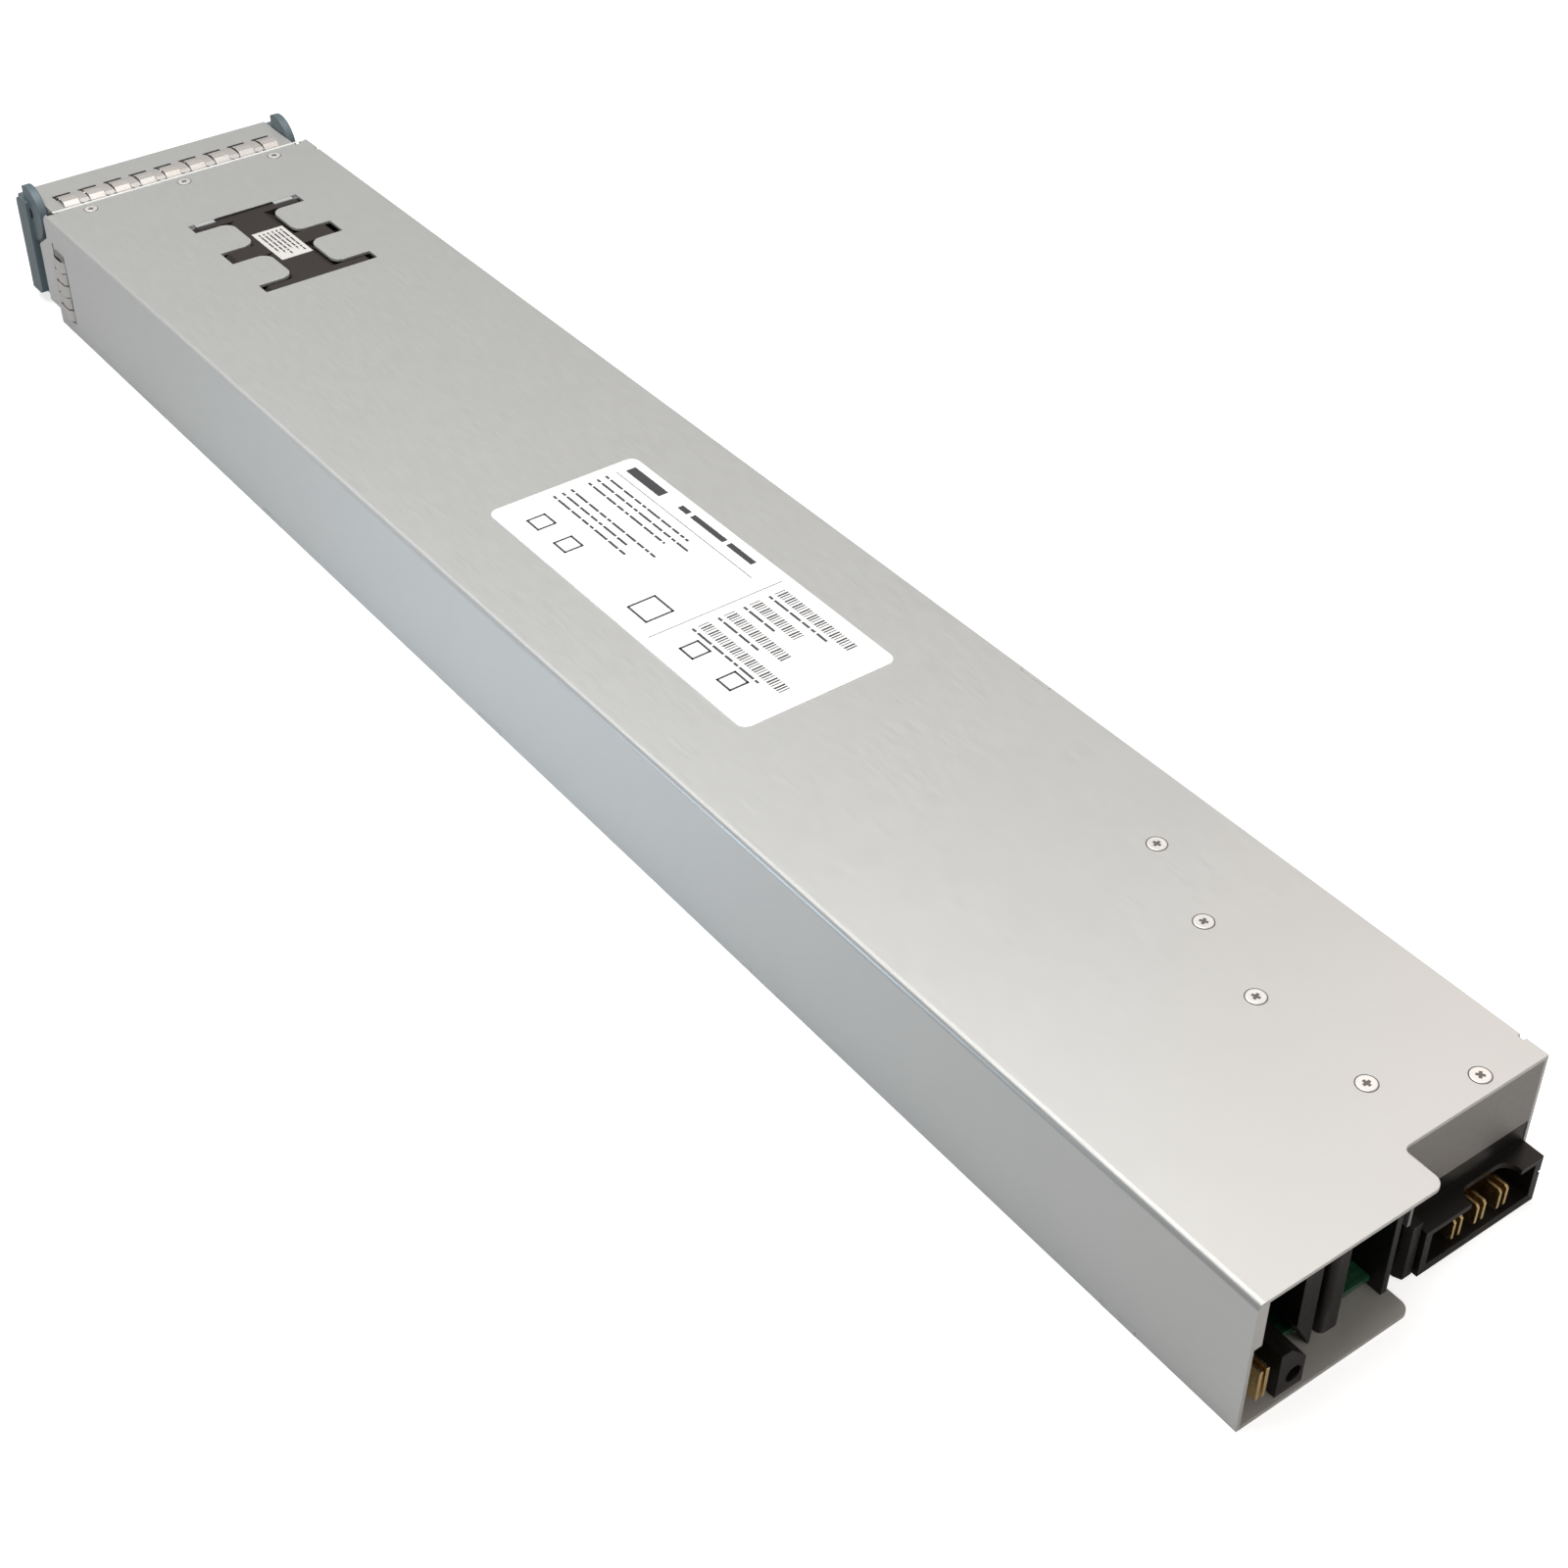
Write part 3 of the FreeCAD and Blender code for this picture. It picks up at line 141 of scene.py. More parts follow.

# Spring strips with their painted shade, the cover's front edge with its painted highlight and the dark
# strip over the fan's flange with painted shade, in metres
SIDE_FINGERS = 5
WINDOW_TOP = 0.0322
WINDOW_GAP = 0.0008
WINDOW_SLIT_REACH = 0.0030
WINDOW_FILL_GAP = 0.0005
WINDOW_FILL_THICK = 0.0008
WINDOW_FILL_INSET = 0.00012
END_TAB_INSET = 0.0007
END_TAB_RISE = 0.00015
END_TAB_LENGTH = 0.0028
GAP_WIDTH = 0.00045
GAP_INSET = 0.00004
GAP_SHADE = (0.012, 0.012, 0.012)
ROOT_GAP = (0.0024, 0.0036)
TOP_FINGERS = 9
TOP_FINGER_WIDE = 0.0056
TOP_SLOT_REACH = 0.0015
TOP_SLOT_SIDE = 0.0005
TOP_SLOT_RISE = 0.00003
EDGE_WIDTH = 0.0008
EDGE_RISE = 0.00015
EDGE_END = 0.0012
CORNER_NOTCH = (0.0022, 0.0014)
NOTCH_RISE = 0.00018
ROOT_RISE = 0.0006
FLANGE_SHADE_HALF = 0.0112
FLANGE_SHADE_REACH = 0.00063
FLANGE_SHADE_DROP = 0.0004
FLANGE_SHADE_INSET = 0.00002

# Print on the labels, in metres from the label's corner at the handle end: lines run
# along the label, and rows are counted across it
PRINT_THICKNESS = 0.00003
LINE_HEIGHT = 0.0008
TITLE = ((0.005, 0.022), 0.0045, 0.0034)
SECOND_TITLE = ((0.030, 0.066), 0.0042, 0.0020)
RULE = ((0.004, 0.071), 0.0088)
RULE_WIDTH = 0.00025
DIVIDER = (0.0772, 0.0030, 0.0473)
TEXT_ROWS = (0.0125, 0.0155, 0.0185, 0.0245, 0.0275, 0.0305)
TEXT_REACH = (0.046, 0.050, 0.043, 0.047, 0.038, 0.041)
CODE_ROWS = (0.0065, 0.0150, 0.0235, 0.0320)
CODE_REACH = (0.115, 0.103, 0.108, 0.119)
CODE_START = 0.081
CODE_HEIGHT = 0.0036
CODE_PITCH = 0.0011
MARKS = ((0.010, 0.0405, 0.0065), (0.024, 0.0405, 0.0065), (0.062, 0.0395, 0.0095),
         (0.086, 0.0405, 0.0065), (0.103, 0.0405, 0.0065))
MARK_WALL = 0.0007
CODE_NOTE_SHORT = 0.008

# Words and bars of the print, as shares of a row's height or of a bar's pitch
WORD_SHORTEST = 2.2
WORD_STEP = 1.9
WORD_STRIDE = 7
WORD_LENGTHS = 4
WORD_GAP = 0.9
BAR_THINNEST = 0.3
BAR_STEP = 0.15
BAR_STRIDE = 5
BAR_WIDTHS = 3

# Rows on the fan's label, as shares of its size, and their height in metres
FAN_ROWS = 6
FAN_ROW_PITCH = 0.14
FAN_ROW_START = 0.08
FAN_ROW_END = 0.9
FAN_ROW_STEP = 0.08
FAN_ROW_LENGTHS = 3
FAN_LINE_HEIGHT = 0.0006


def material(name, colour, metallic, roughness):
    """A new material with its shader set, and the nodes to build on."""
    made = bpy.data.materials.new(name)
    made.use_nodes = True
    tree = made.node_tree
    shader = tree.nodes["Principled BSDF"]
    shader.inputs["Base Color"].default_value = (*colour, 1.0)
    shader.inputs["Metallic"].default_value = metallic
    shader.inputs["Roughness"].default_value = roughness
    return made, tree, shader


def place_coordinates(tree, stretch):
    """Object coordinates in metres, stretched along each axis."""
    coordinates = tree.nodes.new("ShaderNodeTexCoord")
    mapping = tree.nodes.new("ShaderNodeMapping")
    mapping.inputs["Scale"].default_value = stretch
    tree.links.new(coordinates.outputs["Object"], mapping.inputs["Vector"])
    return mapping.outputs["Vector"]


def noise(tree, vector, scale, detail=4.0, roughness=0.55):
    """A noise pattern's value."""
    texture = tree.nodes.new("ShaderNodeTexNoise")
    texture.inputs["Scale"].default_value = scale
    texture.inputs["Detail"].default_value = detail
    texture.inputs["Roughness"].default_value = roughness
    tree.links.new(vector, texture.inputs["Vector"])
    return texture.outputs["Fac"]


def ramp(tree, value, low, high, start=0.3, end=0.7):
    """Two values or colours spread over a stretch of a pattern."""
    made = tree.nodes.new("ShaderNodeMapRange")
    made.inputs["From Min"].default_value = start
    made.inputs["From Max"].default_value = end
    made.inputs["To Min"].default_value = low
    made.inputs["To Max"].default_value = high
    tree.links.new(value, made.inputs["Value"])
    return made.outputs["Result"]


def calculate(tree, operation, *values):
    """A result worked out from values, each a number or another node's."""
    made = tree.nodes.new("ShaderNodeMath")
    made.operation = operation
    for socket, value in zip(made.inputs, values):
        if isinstance(value, float):
            socket.default_value = value
        else:
            tree.links.new(value, socket)
    return made.outputs[0]


def axes(tree, vector):
    """A vector's X, Y and Z."""
    parts = tree.nodes.new("ShaderNodeSeparateXYZ")
    tree.links.new(vector, parts.inputs["Vector"])
    return parts.outputs


def scaled(colour, share):
    """A colour made darker or lighter."""
    return (*[min(1.0, part * share) for part in colour], 1.0)


def tint(tree, colour, value, amount):
    """A colour made a little darker and lighter by a pattern."""
    mix = tree.nodes.new("ShaderNodeMix")
    mix.data_type = "RGBA"
    mix.inputs["A"].default_value = scaled(colour, 1 - amount)
    mix.inputs["B"].default_value = scaled(colour, 1 + amount)
    tree.links.new(value, mix.inputs["Factor"])
    return mix.outputs["Result"]


def bump(tree, shader, value, strength, distance, edge=0.0):
    """Relief from a pattern, on edges that look rounded off by a small radius."""
    made = tree.nodes.new("ShaderNodeBump")
    made.inputs["Strength"].default_value = strength
    made.inputs["Distance"].default_value = distance
    if edge:
        rounded = tree.nodes.new("ShaderNodeBevel")
        rounded.samples = 4
        rounded.inputs["Radius"].default_value = edge
        tree.links.new(rounded.outputs["Normal"], made.inputs["Normal"])
    tree.links.new(value, made.inputs["Height"])
    tree.links.new(made.outputs["Normal"], shader.inputs["Normal"])


def grained(name, colour, metallic, roughness, stretch=(1, 1, 1), scale=900.0, amount=0.05,
            spread=0.06, relief=0.15, depth=0.00004, edge=0.0):
    """A solid surface with fine grain, a slow change of tone and a changing gloss."""
    made, tree, shader = material(name, colour, metallic, roughness)
    vector = place_coordinates(tree, stretch)
    fine = noise(tree, vector, scale)
    slow = noise(tree, place_coordinates(tree, (1, 1, 1)), scale * SLOW_SHARE, 3.0)
    gloss = ramp(tree, fine, roughness - spread, roughness + spread)
    tree.links.new(tint(tree, colour, slow, amount), shader.inputs["Base Color"])
    tree.links.new(gloss, shader.inputs["Roughness"])
    bump(tree, shader, fine, relief, depth, edge)
    return made


def paint_bend_shade(made):
    """Gives a sheet's lengthwise bends a darker colour as painted shade, more so towards the connectors."""
    tree = made.node_tree
    colour = tree.nodes["Principled BSDF"].inputs["Base Color"]
    flat = colour.links[0].from_socket
    geometry = tree.nodes.new("ShaderNodeNewGeometry")
    lean = axes(tree, geometry.outputs["Normal"])
    place = axes(tree, geometry.outputs["Position"])
    slant = calculate(tree, "ABSOLUTE", calculate(tree, "MULTIPLY", lean["X"], lean["Z"]))
    bend = ramp(tree, slant, 0.0, 1.0, *BEND_SLANT)
    reach = ramp(tree, place["Y"], 0.0, 1.0, *BEND_REACH)
    mix = tree.nodes.new("ShaderNodeMix")
    mix.data_type = "RGBA"
    mix.inputs["B"].default_value = (*BEND_SHADE, 1.0)
    tree.links.new(calculate(tree, "MULTIPLY", bend, reach), mix.inputs["Factor"])
    tree.links.new(flat, mix.inputs["A"])
    tree.links.new(mix.outputs["Result"], colour)


def casing_steel():
    """Zinc-coated sheet: satin, with a faint rolled grain along the unit and painted shade on its bends."""
    made = grained("casing_steel", STEEL, 0.55, 0.42, stretch=(1, 0.08, 1), scale=1500.0,
                   amount=0.02, spread=0.03, relief=0.07, depth=0.00002, edge=0.00022)
    paint_bend_shade(made)
    return made


def inner_steel():
    """The same sheet inside, painted a little darker as shade."""
    return grained("inner_steel", STEEL_SHADED, 0.6, 0.45, stretch=(1, 0.1, 1), scale=1200.0)


def spring_metal():
    """Bright tin-plated spring strip."""
    return grained("spring_metal", TIN, 0.4, 0.38, stretch=(1, 0.2, 1), scale=900.0, amount=0.05,
                   spread=0.04, relief=0.04, depth=0.00001, edge=0.0001)


def handle_coat():
    """Fine textured slate grey coating over a casting."""
    return grained("handle_coat", HANDLE_GREY, 0.15, 0.48, scale=2600.0, amount=0.08, relief=0.35,
                   depth=0.00006, edge=0.0006)


def moulded(name, colour, roughness=0.42, gloss=0.5):
    """Moulded plastic with a fine spark-eroded texture."""
    made = grained(name, colour, 0.0, roughness, scale=2200.0, amount=0.12, relief=0.3, depth=0.00005,
                   edge=0.0003)
    shader = made.node_tree.nodes["Principled BSDF"]
    shader.inputs["Specular IOR Level"].default_value = gloss
    return made


def plated(name, colour, roughness=0.25, metallic=1.0):
    """Plated or bare bright metal."""
    return grained(name, colour, metallic, roughness, scale=700.0, amount=0.06, relief=0.08, depth=0.00002)


def gold_plate():
    """Smooth gold plating, with edges that catch the light."""
    return grained("gold_plate", GOLD, 1.0, 0.26, scale=500.0, amount=0.04, spread=0.02, relief=0.01,
                   depth=0.00001, edge=0.0003)


def label_paper(name, colour):
    """Coated label stock."""
    return grained(name, colour, 0.0, 0.38, scale=3000.0, amount=0.015, relief=0.1, depth=0.00002)


def circuit_board():
    """Solder mask with a faint pattern of tracks under it."""
    made, tree, shader = material("circuit_board", BOARD_GREEN, 0.0, 0.28)
    vector = place_coordinates(tree, (1, 1, 1))
    tracks = tree.nodes.new("ShaderNodeTexBrick")
    tracks.inputs["Scale"].default_value = TRACK_SCALE
    tracks.inputs["Color1"].default_value = (*BOARD_GREEN, 1.0)
    tracks.inputs["Color2"].default_value = scaled(BOARD_GREEN, TRACK_LIGHT)
    tracks.inputs["Mortar"].default_value = scaled(BOARD_GREEN, TRACK_GAP)
    tree.links.new(vector, tracks.inputs["Vector"])
    tree.links.new(tracks.outputs["Color"], shader.inputs["Base Color"])
    bump(tree, shader, tracks.outputs["Fac"], 0.2, 0.00003)
    return made


def wound_wire():
    """Enamelled wire, with the turns as fine ridges."""
    made, tree, shader = material("wound_wire", ENAMEL, 0.7, 0.3)
    wave = tree.nodes.new("ShaderNodeTexWave")
    wave.inputs["Scale"].default_value = WIRE_SCALE
    wave.inputs["Distortion"].default_value = WIRE_SLACK
    tree.links.new(place_coordinates(tree, (1, 1, 1)), wave.inputs["Vector"])
    tree.links.new(tint(tree, ENAMEL, wave.outputs["Fac"], 0.3), shader.inputs["Base Color"])
    bump(tree, shader, wave.outputs["Fac"], 0.5, 0.0002)
    return made


def light_pipe():
    """Clear frosted plastic."""
    made = grained("light_pipe", PIPE_WHITE, 0.0, 0.3, scale=1800.0, amount=0.04)
    shader = made.node_tree.nodes["Principled BSDF"]
    shader.inputs["Transmission Weight"].default_value = PIPE_CLARITY
    return made


def mesh_piece(name, shape, paint):
    """A finished piece of the casing."""
    mesh = bpy.data.meshes.new(name)
    bmesh.ops.recalc_face_normals(shape, faces=shape.faces)
    shape.to_mesh(mesh)
    shape.free()
    mesh.materials.append(paint)
    made = bpy.data.objects.new(name, mesh)
    bpy.context.scene.collection.objects.link(made)
    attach(made, BODY)
    return made


def blocks(shape, corners):
    """Adds thin blocks, each from its two opposite corners."""
    for low, high in corners:
        low, high = Vector(low), Vector(high)
        turn = Matrix.Translation((low + high) / 2) @ Matrix.Diagonal((*(high - low), 1.0))
        bmesh.ops.create_cube(shape, size=1.0, matrix=turn)


def flat_marks(name, node, marks, paint):
    """Thin printed marks on a label, given as (start, end) along it and across it."""
    low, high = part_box(node)
    top = high.z + PRINT_THICKNESS
    shape = bmesh.new()
    blocks(shape, [((low.x + near, low.y + start, high.z), (low.x + far, low.y + end, top))
                   for (start, end), (near, far) in marks])
    mesh_piece(name, shape, paint)


def across_row(row, height):
    """The stretch across the label that a row's height takes up."""
    return row - height / 2, row + height / 2


def text_row(row, start, end, height):
    """A row of short bars in place of words, with gaps of changing length."""
    marks = []
    place, step = start, 0
    while place < end:
        word = height * (WORD_SHORTEST + WORD_STEP * ((step * WORD_STRIDE) % WORD_LENGTHS))
        marks.append(((place, min(place + word, end)), across_row(row, height)))
        place += word + height * WORD_GAP
        step += 1
    return marks


def code_row(row, end):
    """A row of cross bars of changing width, in place of a code."""
    marks = []
    count = int((end - CODE_START) / CODE_PITCH)
    for step in range(count):
        start = CODE_START + step * CODE_PITCH
        wide = CODE_PITCH * (BAR_THINNEST + BAR_STEP * ((step * BAR_STRIDE) % BAR_WIDTHS))
        marks.append(((start, start + wide), across_row(row, CODE_HEIGHT)))
    return marks


def frame_mark(start, row, size):
    """A plain square outline."""
    near, far = across_row(row, size)
    end = start + size
    return [((start, end), (near, near + MARK_WALL)), ((start, end), (far - MARK_WALL, far)),
            ((start, start + MARK_WALL), (near, far)), ((end - MARK_WALL, end), (near, far))]


def rating_print():
    """Bars, rules and squares of a label that carries no words."""
    marks = [(TITLE[0], across_row(TITLE[1], TITLE[2])), (RULE[0], across_row(RULE[1], RULE_WIDTH)),
             ((DIVIDER[0], DIVIDER[0] + RULE_WIDTH), DIVIDER[1:])]
    marks += text_row(SECOND_TITLE[1], *SECOND_TITLE[0], SECOND_TITLE[2])
    for row, end in zip(TEXT_ROWS, TEXT_REACH):
        marks += text_row(row, RULE[0][0], end, LINE_HEIGHT)
    for row, end in zip(CODE_ROWS, CODE_REACH):
        marks += code_row(row, end)
        marks += text_row(row + CODE_HEIGHT, CODE_START, end - CODE_NOTE_SHORT, LINE_HEIGHT)
    for mark in MARKS:
        marks += frame_mark(*mark)
    return marks


def fan_print():
    """Short bars on the small label over the fan."""
    low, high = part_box("fan_label")
    long, wide = high.y - low.y, high.x - low.x
    marks = []
    for step in range(FAN_ROWS):
        row = wide * (FAN_ROW_PITCH + FAN_ROW_PITCH * step)
        end = long * (FAN_ROW_END - FAN_ROW_STEP * (step % FAN_ROW_LENGTHS))
        marks += text_row(row, long * FAN_ROW_START, end, FAN_LINE_HEIGHT)
    return marks


def label_print():
    """Both labels' print."""
    ink = grained("label_ink", INK, 0.0, 0.45, scale=2500.0, amount=0.1, relief=0.05)
    flat_marks("rating_label_print", "rating_label", rating_print(), ink)
    flat_marks("fan_label_print", "fan_label", fan_print(), ink)


def ring(shape, place, radius, rise):
    """Adds a ring of corners about an upright axis."""
    turns = [2 * math.pi * step / SCREW_SIDES for step in range(SCREW_SIDES)]
    return [shape.verts.new((place[0] + radius * math.cos(turn), place[1] + radius * math.sin(turn),
                             place[2] + rise)) for turn in turns]


def turned(shape, profile, place):
    """Adds a turned solid about an upright axis, from its (radius, height) profile."""
    rings = [ring(shape, place, radius, rise) for radius, rise in profile]
    for low, high in zip(rings, rings[1:]):
        for step in range(SCREW_SIDES):
            after = (step + 1) % SCREW_SIDES
            shape.faces.new((low[step], low[after], high[after], high[step]))
    shape.faces.new(rings[-1])


def cross_points(arm, half):
    """Outline of a cross, as seen from above."""
    return [(half, half), (arm, half), (arm, -half), (half, -half), (half, -arm), (-half, -arm),
            (-half, -half), (-arm, -half), (-arm, half), (-half, half), (-half, arm), (half, arm)]


def cross(shape, place, radius, turn):
    """Adds the flat cross of a screw's recess, facing up."""
    spin = Matrix.Rotation(math.radians(turn), 2)
    points = [spin @ Vector(point) for point in cross_points(radius * CROSS_REACH, radius * CROSS_HALF)]
    top = place[2] + HEAD_RISE * CROSS_RISE
    corners = [shape.verts.new((place[0] + point.x, place[1] + point.y, top)) for point in points]
    shape.faces.new(corners[::-1])


def screw_set(name, spots, radius, metal, shade):
    """Flat screw heads in the cover: a seat ring painted dark as shade, a bright head and a cross recess
    painted dark as shade.
    """
    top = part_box("top_cover")[1].z
    seat = radius * SEAT_SHARE
    seat_profile = ((seat, 0.0), (seat, SEAT_RISE), (SCREW_MIDDLE, SEAT_RISE))
    head_profile = ((radius, 0.0), (radius, HEAD_RISE * HEAD_SHOULDER), (radius * HEAD_FACE, HEAD_RISE),
                    (SCREW_MIDDLE, HEAD_RISE * HEAD_DISH))
    heads, seats, crosses = bmesh.new(), bmesh.new(), bmesh.new()
    for x, y, turn in spots:
        place = (x, y, top)
        turned(seats, seat_profile, place)
        turned(heads, head_profile, place)
        cross(crosses, place, radius, turn)
    mesh_piece(name + "_seats", seats, shade)
    mesh_piece(name + "_heads", heads, metal)
    mesh_piece(name + "_recesses", crosses, shade)


def cover_front():
    """Where the cover's top starts at the handle end."""
    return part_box("rating_label")[0].y - LABEL_START


def cover_screws():
    """Five screws near the connectors and three small ones behind the spring fingers."""
    rear_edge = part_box("top_cover")[1].y
    metal = plated("screw_nickel", SCREW_NICKEL, 0.4, 0.45)
    shade = moulded("screw_shadow", SHADOW, 0.6)
    rear = [(x, rear_edge - back, turn) for x, back, turn in REAR_SCREWS]
    front = [(x, cover_front() + FRONT_SCREW_ROW, turn) for x, turn in FRONT_SCREWS]
    screw_set("rear_screws", rear, REAR_SCREW_RADIUS, metal, shade)
    screw_set("front_screws", front, FRONT_SCREW_RADIUS, metal, shade)


def window_end(node, sign):
    """The sheet that closes a side window over its strip, with a slit in front, and the strip's end tab."""
    low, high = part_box(node)
    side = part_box("top_cover")[1].x
    front, back = low.y + WINDOW_SLIT_REACH, high.y + WINDOW_GAP
    fill = ((sign * (side - WINDOW_FILL_THICK), front, high.z + WINDOW_FILL_GAP),
            (sign * (side - WINDOW_FILL_INSET), back, WINDOW_TOP))
    tab = ((sign * (side - WINDOW_FILL_INSET), front + END_TAB_INSET, high.z + WINDOW_FILL_GAP),
           (sign * (side + END_TAB_RISE), back - END_TAB_INSET, high.z + END_TAB_LENGTH))
    return fill, tab


def finger_gaps(node, sign):
    """Painted shade in the gaps at the ends and roots of a side strip's fingers."""
    low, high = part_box(node)
    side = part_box("top_cover")[1].x
    pitch = (high.z - low.z) / SIDE_FINGERS
    root_start, root_end = low.y + ROOT_GAP[0], low.y + ROOT_GAP[1]
    gaps = []
    for step in range(SIDE_FINGERS):
        start = low.z + step * pitch
        back = high.y + (WINDOW_GAP if step % 2 == 0 else WINDOW_GAP / 2)
        gaps.append(((sign * (side - WINDOW_FILL_THICK), back - GAP_WIDTH, start),
                     (sign * (side - GAP_INSET), back, start + pitch)))
        if step:
            gaps.append(((sign * side, root_start, start - GAP_WIDTH / 2),
                         (sign * (side + ROOT_RISE), root_end, start + GAP_WIDTH / 2)))
    return gaps


def side_strips():
    """What the photograph shows round the side strips: closed window ends, end tabs in steel painted darker
    as shade and gaps painted dark as shade.
    """
    fills, tabs, gaps = bmesh.new(), bmesh.new(), bmesh.new()
    for node, sign in (("left_spring_fingers", 1), ("right_spring_fingers", -1)):
        fill, tab = window_end(node, sign)
        blocks(fills, [fill])
        blocks(tabs, [tab])
        blocks(gaps, finger_gaps(node, sign))
    mesh_piece("side_window_ends", fills, nodes["top_cover"].data.materials[0])
    mesh_piece("side_strip_tabs", tabs, inner_steel())
    mesh_piece("side_finger_gap_shade", gaps, moulded("finger_shadow", GAP_SHADE, 0.6))


def top_strip_slots():
    """Slots in front of the top strip's wide fingers, painted dark as shade."""
    low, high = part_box("top_spring_fingers")
    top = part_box("front_box")[1].z
    pitch = (high.x - low.x - TOP_FINGER_WIDE) / (TOP_FINGERS - 1)
    shape = bmesh.new()
    for step in range(TOP_FINGERS):
        start = low.x + step * pitch - TOP_SLOT_SIDE
        end = low.x + step * pitch + TOP_FINGER_WIDE + TOP_SLOT_SIDE
        blocks(shape, [((start, low.y - TOP_SLOT_REACH, top),
                        (end, low.y - TOP_SLOT_RISE, top + TOP_SLOT_RISE))])
    mesh_piece("top_finger_slot_shade", shape, moulded("slot_shadow", GAP_SHADE, 0.6))


def cover_edge_highlight():
    """The cover's front edge with a painted highlight along it, and a notch at its near corner painted dark
    as shade.
    """
    low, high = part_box("top_cover")
    front = cover_front()
    start, end = low.x + EDGE_END, high.x - EDGE_END
    edge, notch = bmesh.new(), bmesh.new()
    blocks(edge, [((start, front, high.z), (end, front + EDGE_WIDTH, high.z + EDGE_RISE))])
    blocks(notch, [((end - CORNER_NOTCH[0], front, high.z),
                    (end, front + CORNER_NOTCH[1], high.z + NOTCH_RISE))])
    mesh_piece("cover_front_highlight", edge, plated("painted_edge_highlight", EDGE_HIGHLIGHT, 0.4, 0.1))
    mesh_piece("cover_corner_notch", notch, moulded("notch_shadow", GAP_SHADE, 0.6))


def fan_flange_shade():
    """Dark strip along the cover's cut-out between the bracket's tabs: the fan's dark flange, with painted
    shade.
    """
    low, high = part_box("fan_frame_front")
    middle = (low.x + high.x) / 2
    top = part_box("top_cover")[1].z
    shape = bmesh.new()
    blocks(shape, [((middle - FLANGE_SHADE_HALF, low.y - FLANGE_SHADE_REACH, top - FLANGE_SHADE_DROP),
                    (middle + FLANGE_SHADE_HALF, low.y, top - FLANGE_SHADE_INSET))])
    mesh_piece("fan_flange_shade", shape, moulded("dark_flange_and_shade", GAP_SHADE, 0.8))


def dress(names, made):
    """Gives CAD nodes their material."""
    for name in names:
        obj = nodes[name]
        obj.data.materials.clear()
        obj.data.materials.append(made)


def dress_all():
    """Materials of every CAD node."""
    dress(["top_cover", "base_tray", "front_box", "front_grille"], casing_steel())
    dress(["rear_bulkhead"], inner_steel())
    dress(["screw_socket"], inner_steel())
    dress(["fan_bracket"], plated("bracket_steel", BRACKET, 0.34, 0.6))
    dress(["top_spring_fingers", "left_spring_fingers", "right_spring_fingers"], spring_metal())
    dress(["handle"], handle_coat())
    dress(["handle_pivot_pins", "captive_screw"], plated("nickel_steel", NICKEL, 0.3))
    black = moulded("black_moulding", BLACK, 0.38, 0.32)
    dress(["input_connector", "guide_post", "partition_wall", "output_housing", "guide_block",
           "input_relay", "power_transistors"], black)
    dress(["fan_frame_front", "fan_frame_rear", "fan_rotor_front", "fan_rotor_rear"],
          moulded("fan_moulding", FAN_BLACK, 0.5))
    dress(["status_lights"], light_pipe())
    dress(["rating_label"], label_paper("label_paper", PAPER))
    dress(["fan_label"], label_paper("fan_label_paper", FAN_PAPER))
    dress(["input_blades", "signal_contact"], gold_plate())
    dress(["power_contacts", "bus_bars"], plated("bare_copper", COPPER, 0.3))
    dress(["output_board", "main_board", "control_card"], circuit_board())
    dress(["bulk_capacitors"], moulded("can_sleeve", SLEEVE, 0.3))
    dress(["output_capacitors"], plated("drawn_can", CAN, 0.3))
    dress(["transformers", "output_chokes"], moulded("ferrite", FERRITE, 0.5))
    dress(["boost_choke", "filter_choke"], wound_wire())
    dress(["film_capacitors"], moulded("film_case", FILM_YELLOW, 0.3))
    dress(["heatsinks"], plated("extruded_aluminium", ALUMINIUM, 0.35))
    dress(["board_standoffs", "output_board_pads"], plated("turned_brass", BRASS, 0.3))
    dress(["fan_motor_cores"], plated("core_sheet", CORE, 0.45))


def camera():
    """The photograph's camera."""
    azimuth, elevation = math.radians(CAMERA_AZIMUTH), math.radians(CAMERA_ELEVATION)
    back = Vector((math.sin(azimuth) * math.cos(elevation), -math.cos(azimuth) * math.cos(elevation),
                   math.sin(elevation)))
    right = Vector((0, 0, 1)).cross(back).normalized()
    up = back.cross(right)
    turn = Matrix((right, up, back)).transposed() @ Matrix.Rotation(math.radians(CAMERA_ROLL), 3, "Z")
    data = bpy.data.cameras.new("camera")
    data.lens = CAMERA_LENS
    data.sensor_width = SENSOR
    data.clip_start = CLIP_START
    made = bpy.data.objects.new("camera", data)
    made.matrix_world = Matrix.Translation(CAMERA_PLACE) @ turn.to_4x4()
    bpy.context.scene.collection.objects.link(made)
    bpy.context.scene.camera = made


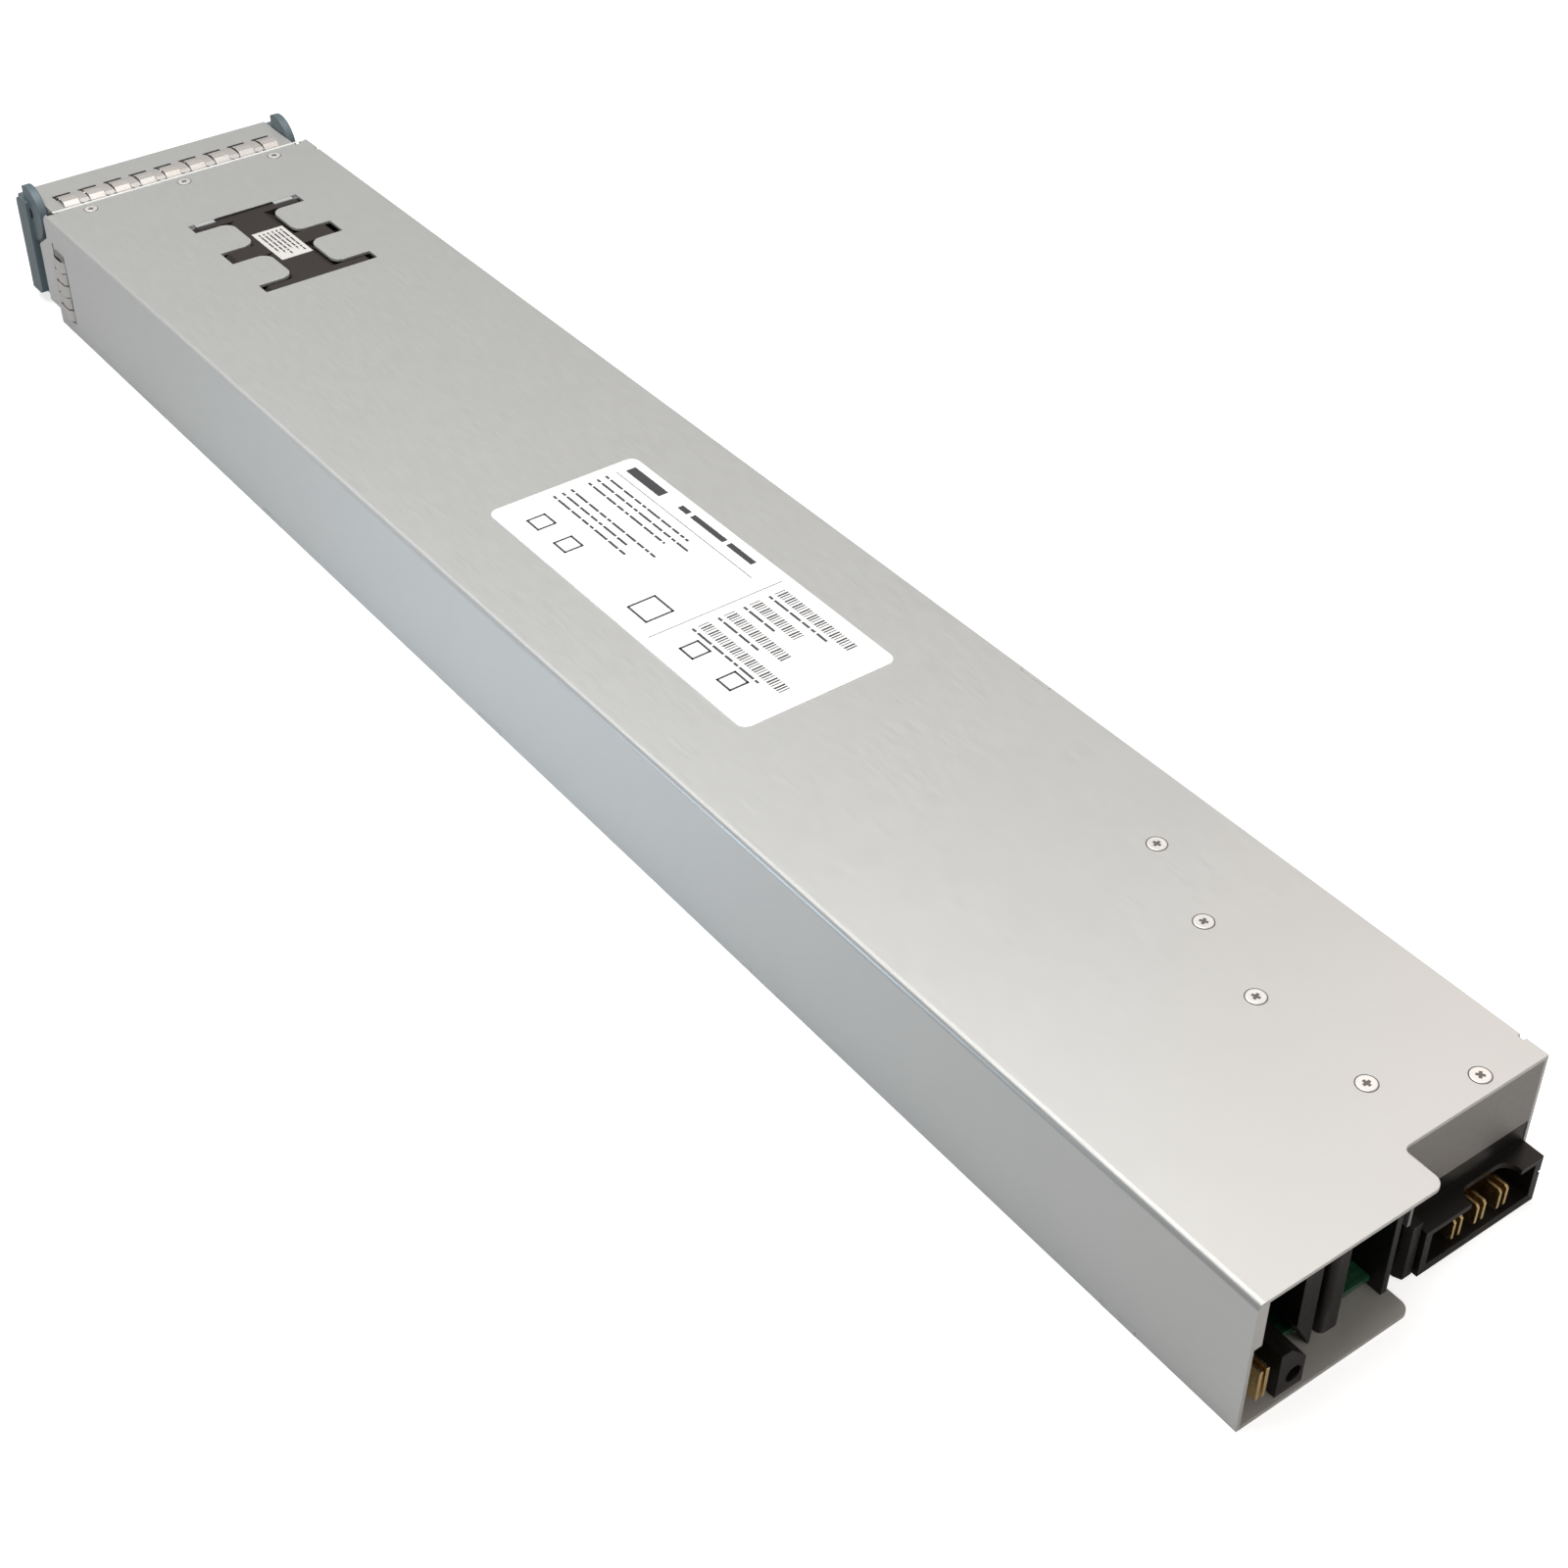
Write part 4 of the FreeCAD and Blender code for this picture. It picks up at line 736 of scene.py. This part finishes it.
def area_light(name, place, aim, width, height, power, colour):
    """A soft rectangular lamp pointed at a spot."""
    data = bpy.data.lights.new(name, "AREA")
    data.shape = "RECTANGLE"
    data.size = width
    data.size_y = height
    data.energy = power
    data.color = colour
    made = bpy.data.objects.new(name, data)
    made.location = place
    made.rotation_euler = (Vector(aim) - Vector(place)).to_track_quat("-Z", "Y").to_euler()
    bpy.context.scene.collection.objects.link(made)


def lights():
    """Soft studio light: a large lamp above, a cool one at the long side, warm ones at the connector end."""
    for name, place, aim, size, power, colour in LAMPS:
        area_light(name, place, aim, *size, power, colour)


def background(tree, strength):
    """White light from all round."""
    made = tree.nodes.new("ShaderNodeBackground")
    made.inputs["Color"].default_value = (1, 1, 1, 1)
    made.inputs["Strength"].default_value = strength
    return made.outputs["Background"]


def world():
    """An even soft surround, white where the camera sees it, also through clear plastic."""
    made = bpy.data.worlds.new("surround")
    made.use_nodes = True
    tree = made.node_tree
    tree.nodes.clear()
    path = tree.nodes.new("ShaderNodeLightPath")
    seen = calculate(tree, "MAXIMUM", path.outputs["Is Camera Ray"], path.outputs["Is Transmission Ray"])
    mix = tree.nodes.new("ShaderNodeMixShader")
    output = tree.nodes.new("ShaderNodeOutputWorld")
    tree.links.new(seen, mix.inputs["Fac"])
    tree.links.new(background(tree, SURROUND), mix.inputs[1])
    tree.links.new(background(tree, 1.0), mix.inputs[2])
    tree.links.new(mix.outputs["Shader"], output.inputs["Surface"])
    bpy.context.scene.world = made


def floor():
    """A plain pale floor that keeps a faint shadow."""
    mesh = bpy.data.meshes.new("floor")
    shape = bmesh.new()
    bmesh.ops.create_grid(shape, x_segments=1, y_segments=1, size=FLOOR_HALF)
    shape.to_mesh(mesh)
    shape.free()
    made = bpy.data.objects.new("floor", mesh)
    bpy.context.scene.collection.objects.link(made)
    paint, tree, shader = material("floor", FLOOR, 0.0, FLOOR_ROUGHNESS)
    path = tree.nodes.new("ShaderNodeLightPath")
    lift = calculate(tree, "MULTIPLY", path.outputs["Is Camera Ray"], FLOOR_LIFT)
    shader.inputs["Emission Color"].default_value = (1, 1, 1, 1)
    tree.links.new(lift, shader.inputs["Emission Strength"])
    mesh.materials.append(paint)


dress_all()
label_print()
cover_screws()
side_strips()
top_strip_slots()
cover_edge_highlight()
fan_flange_shade()
camera()
lights()
world()
floor()
bpy.context.scene.view_settings.view_transform = "Standard"
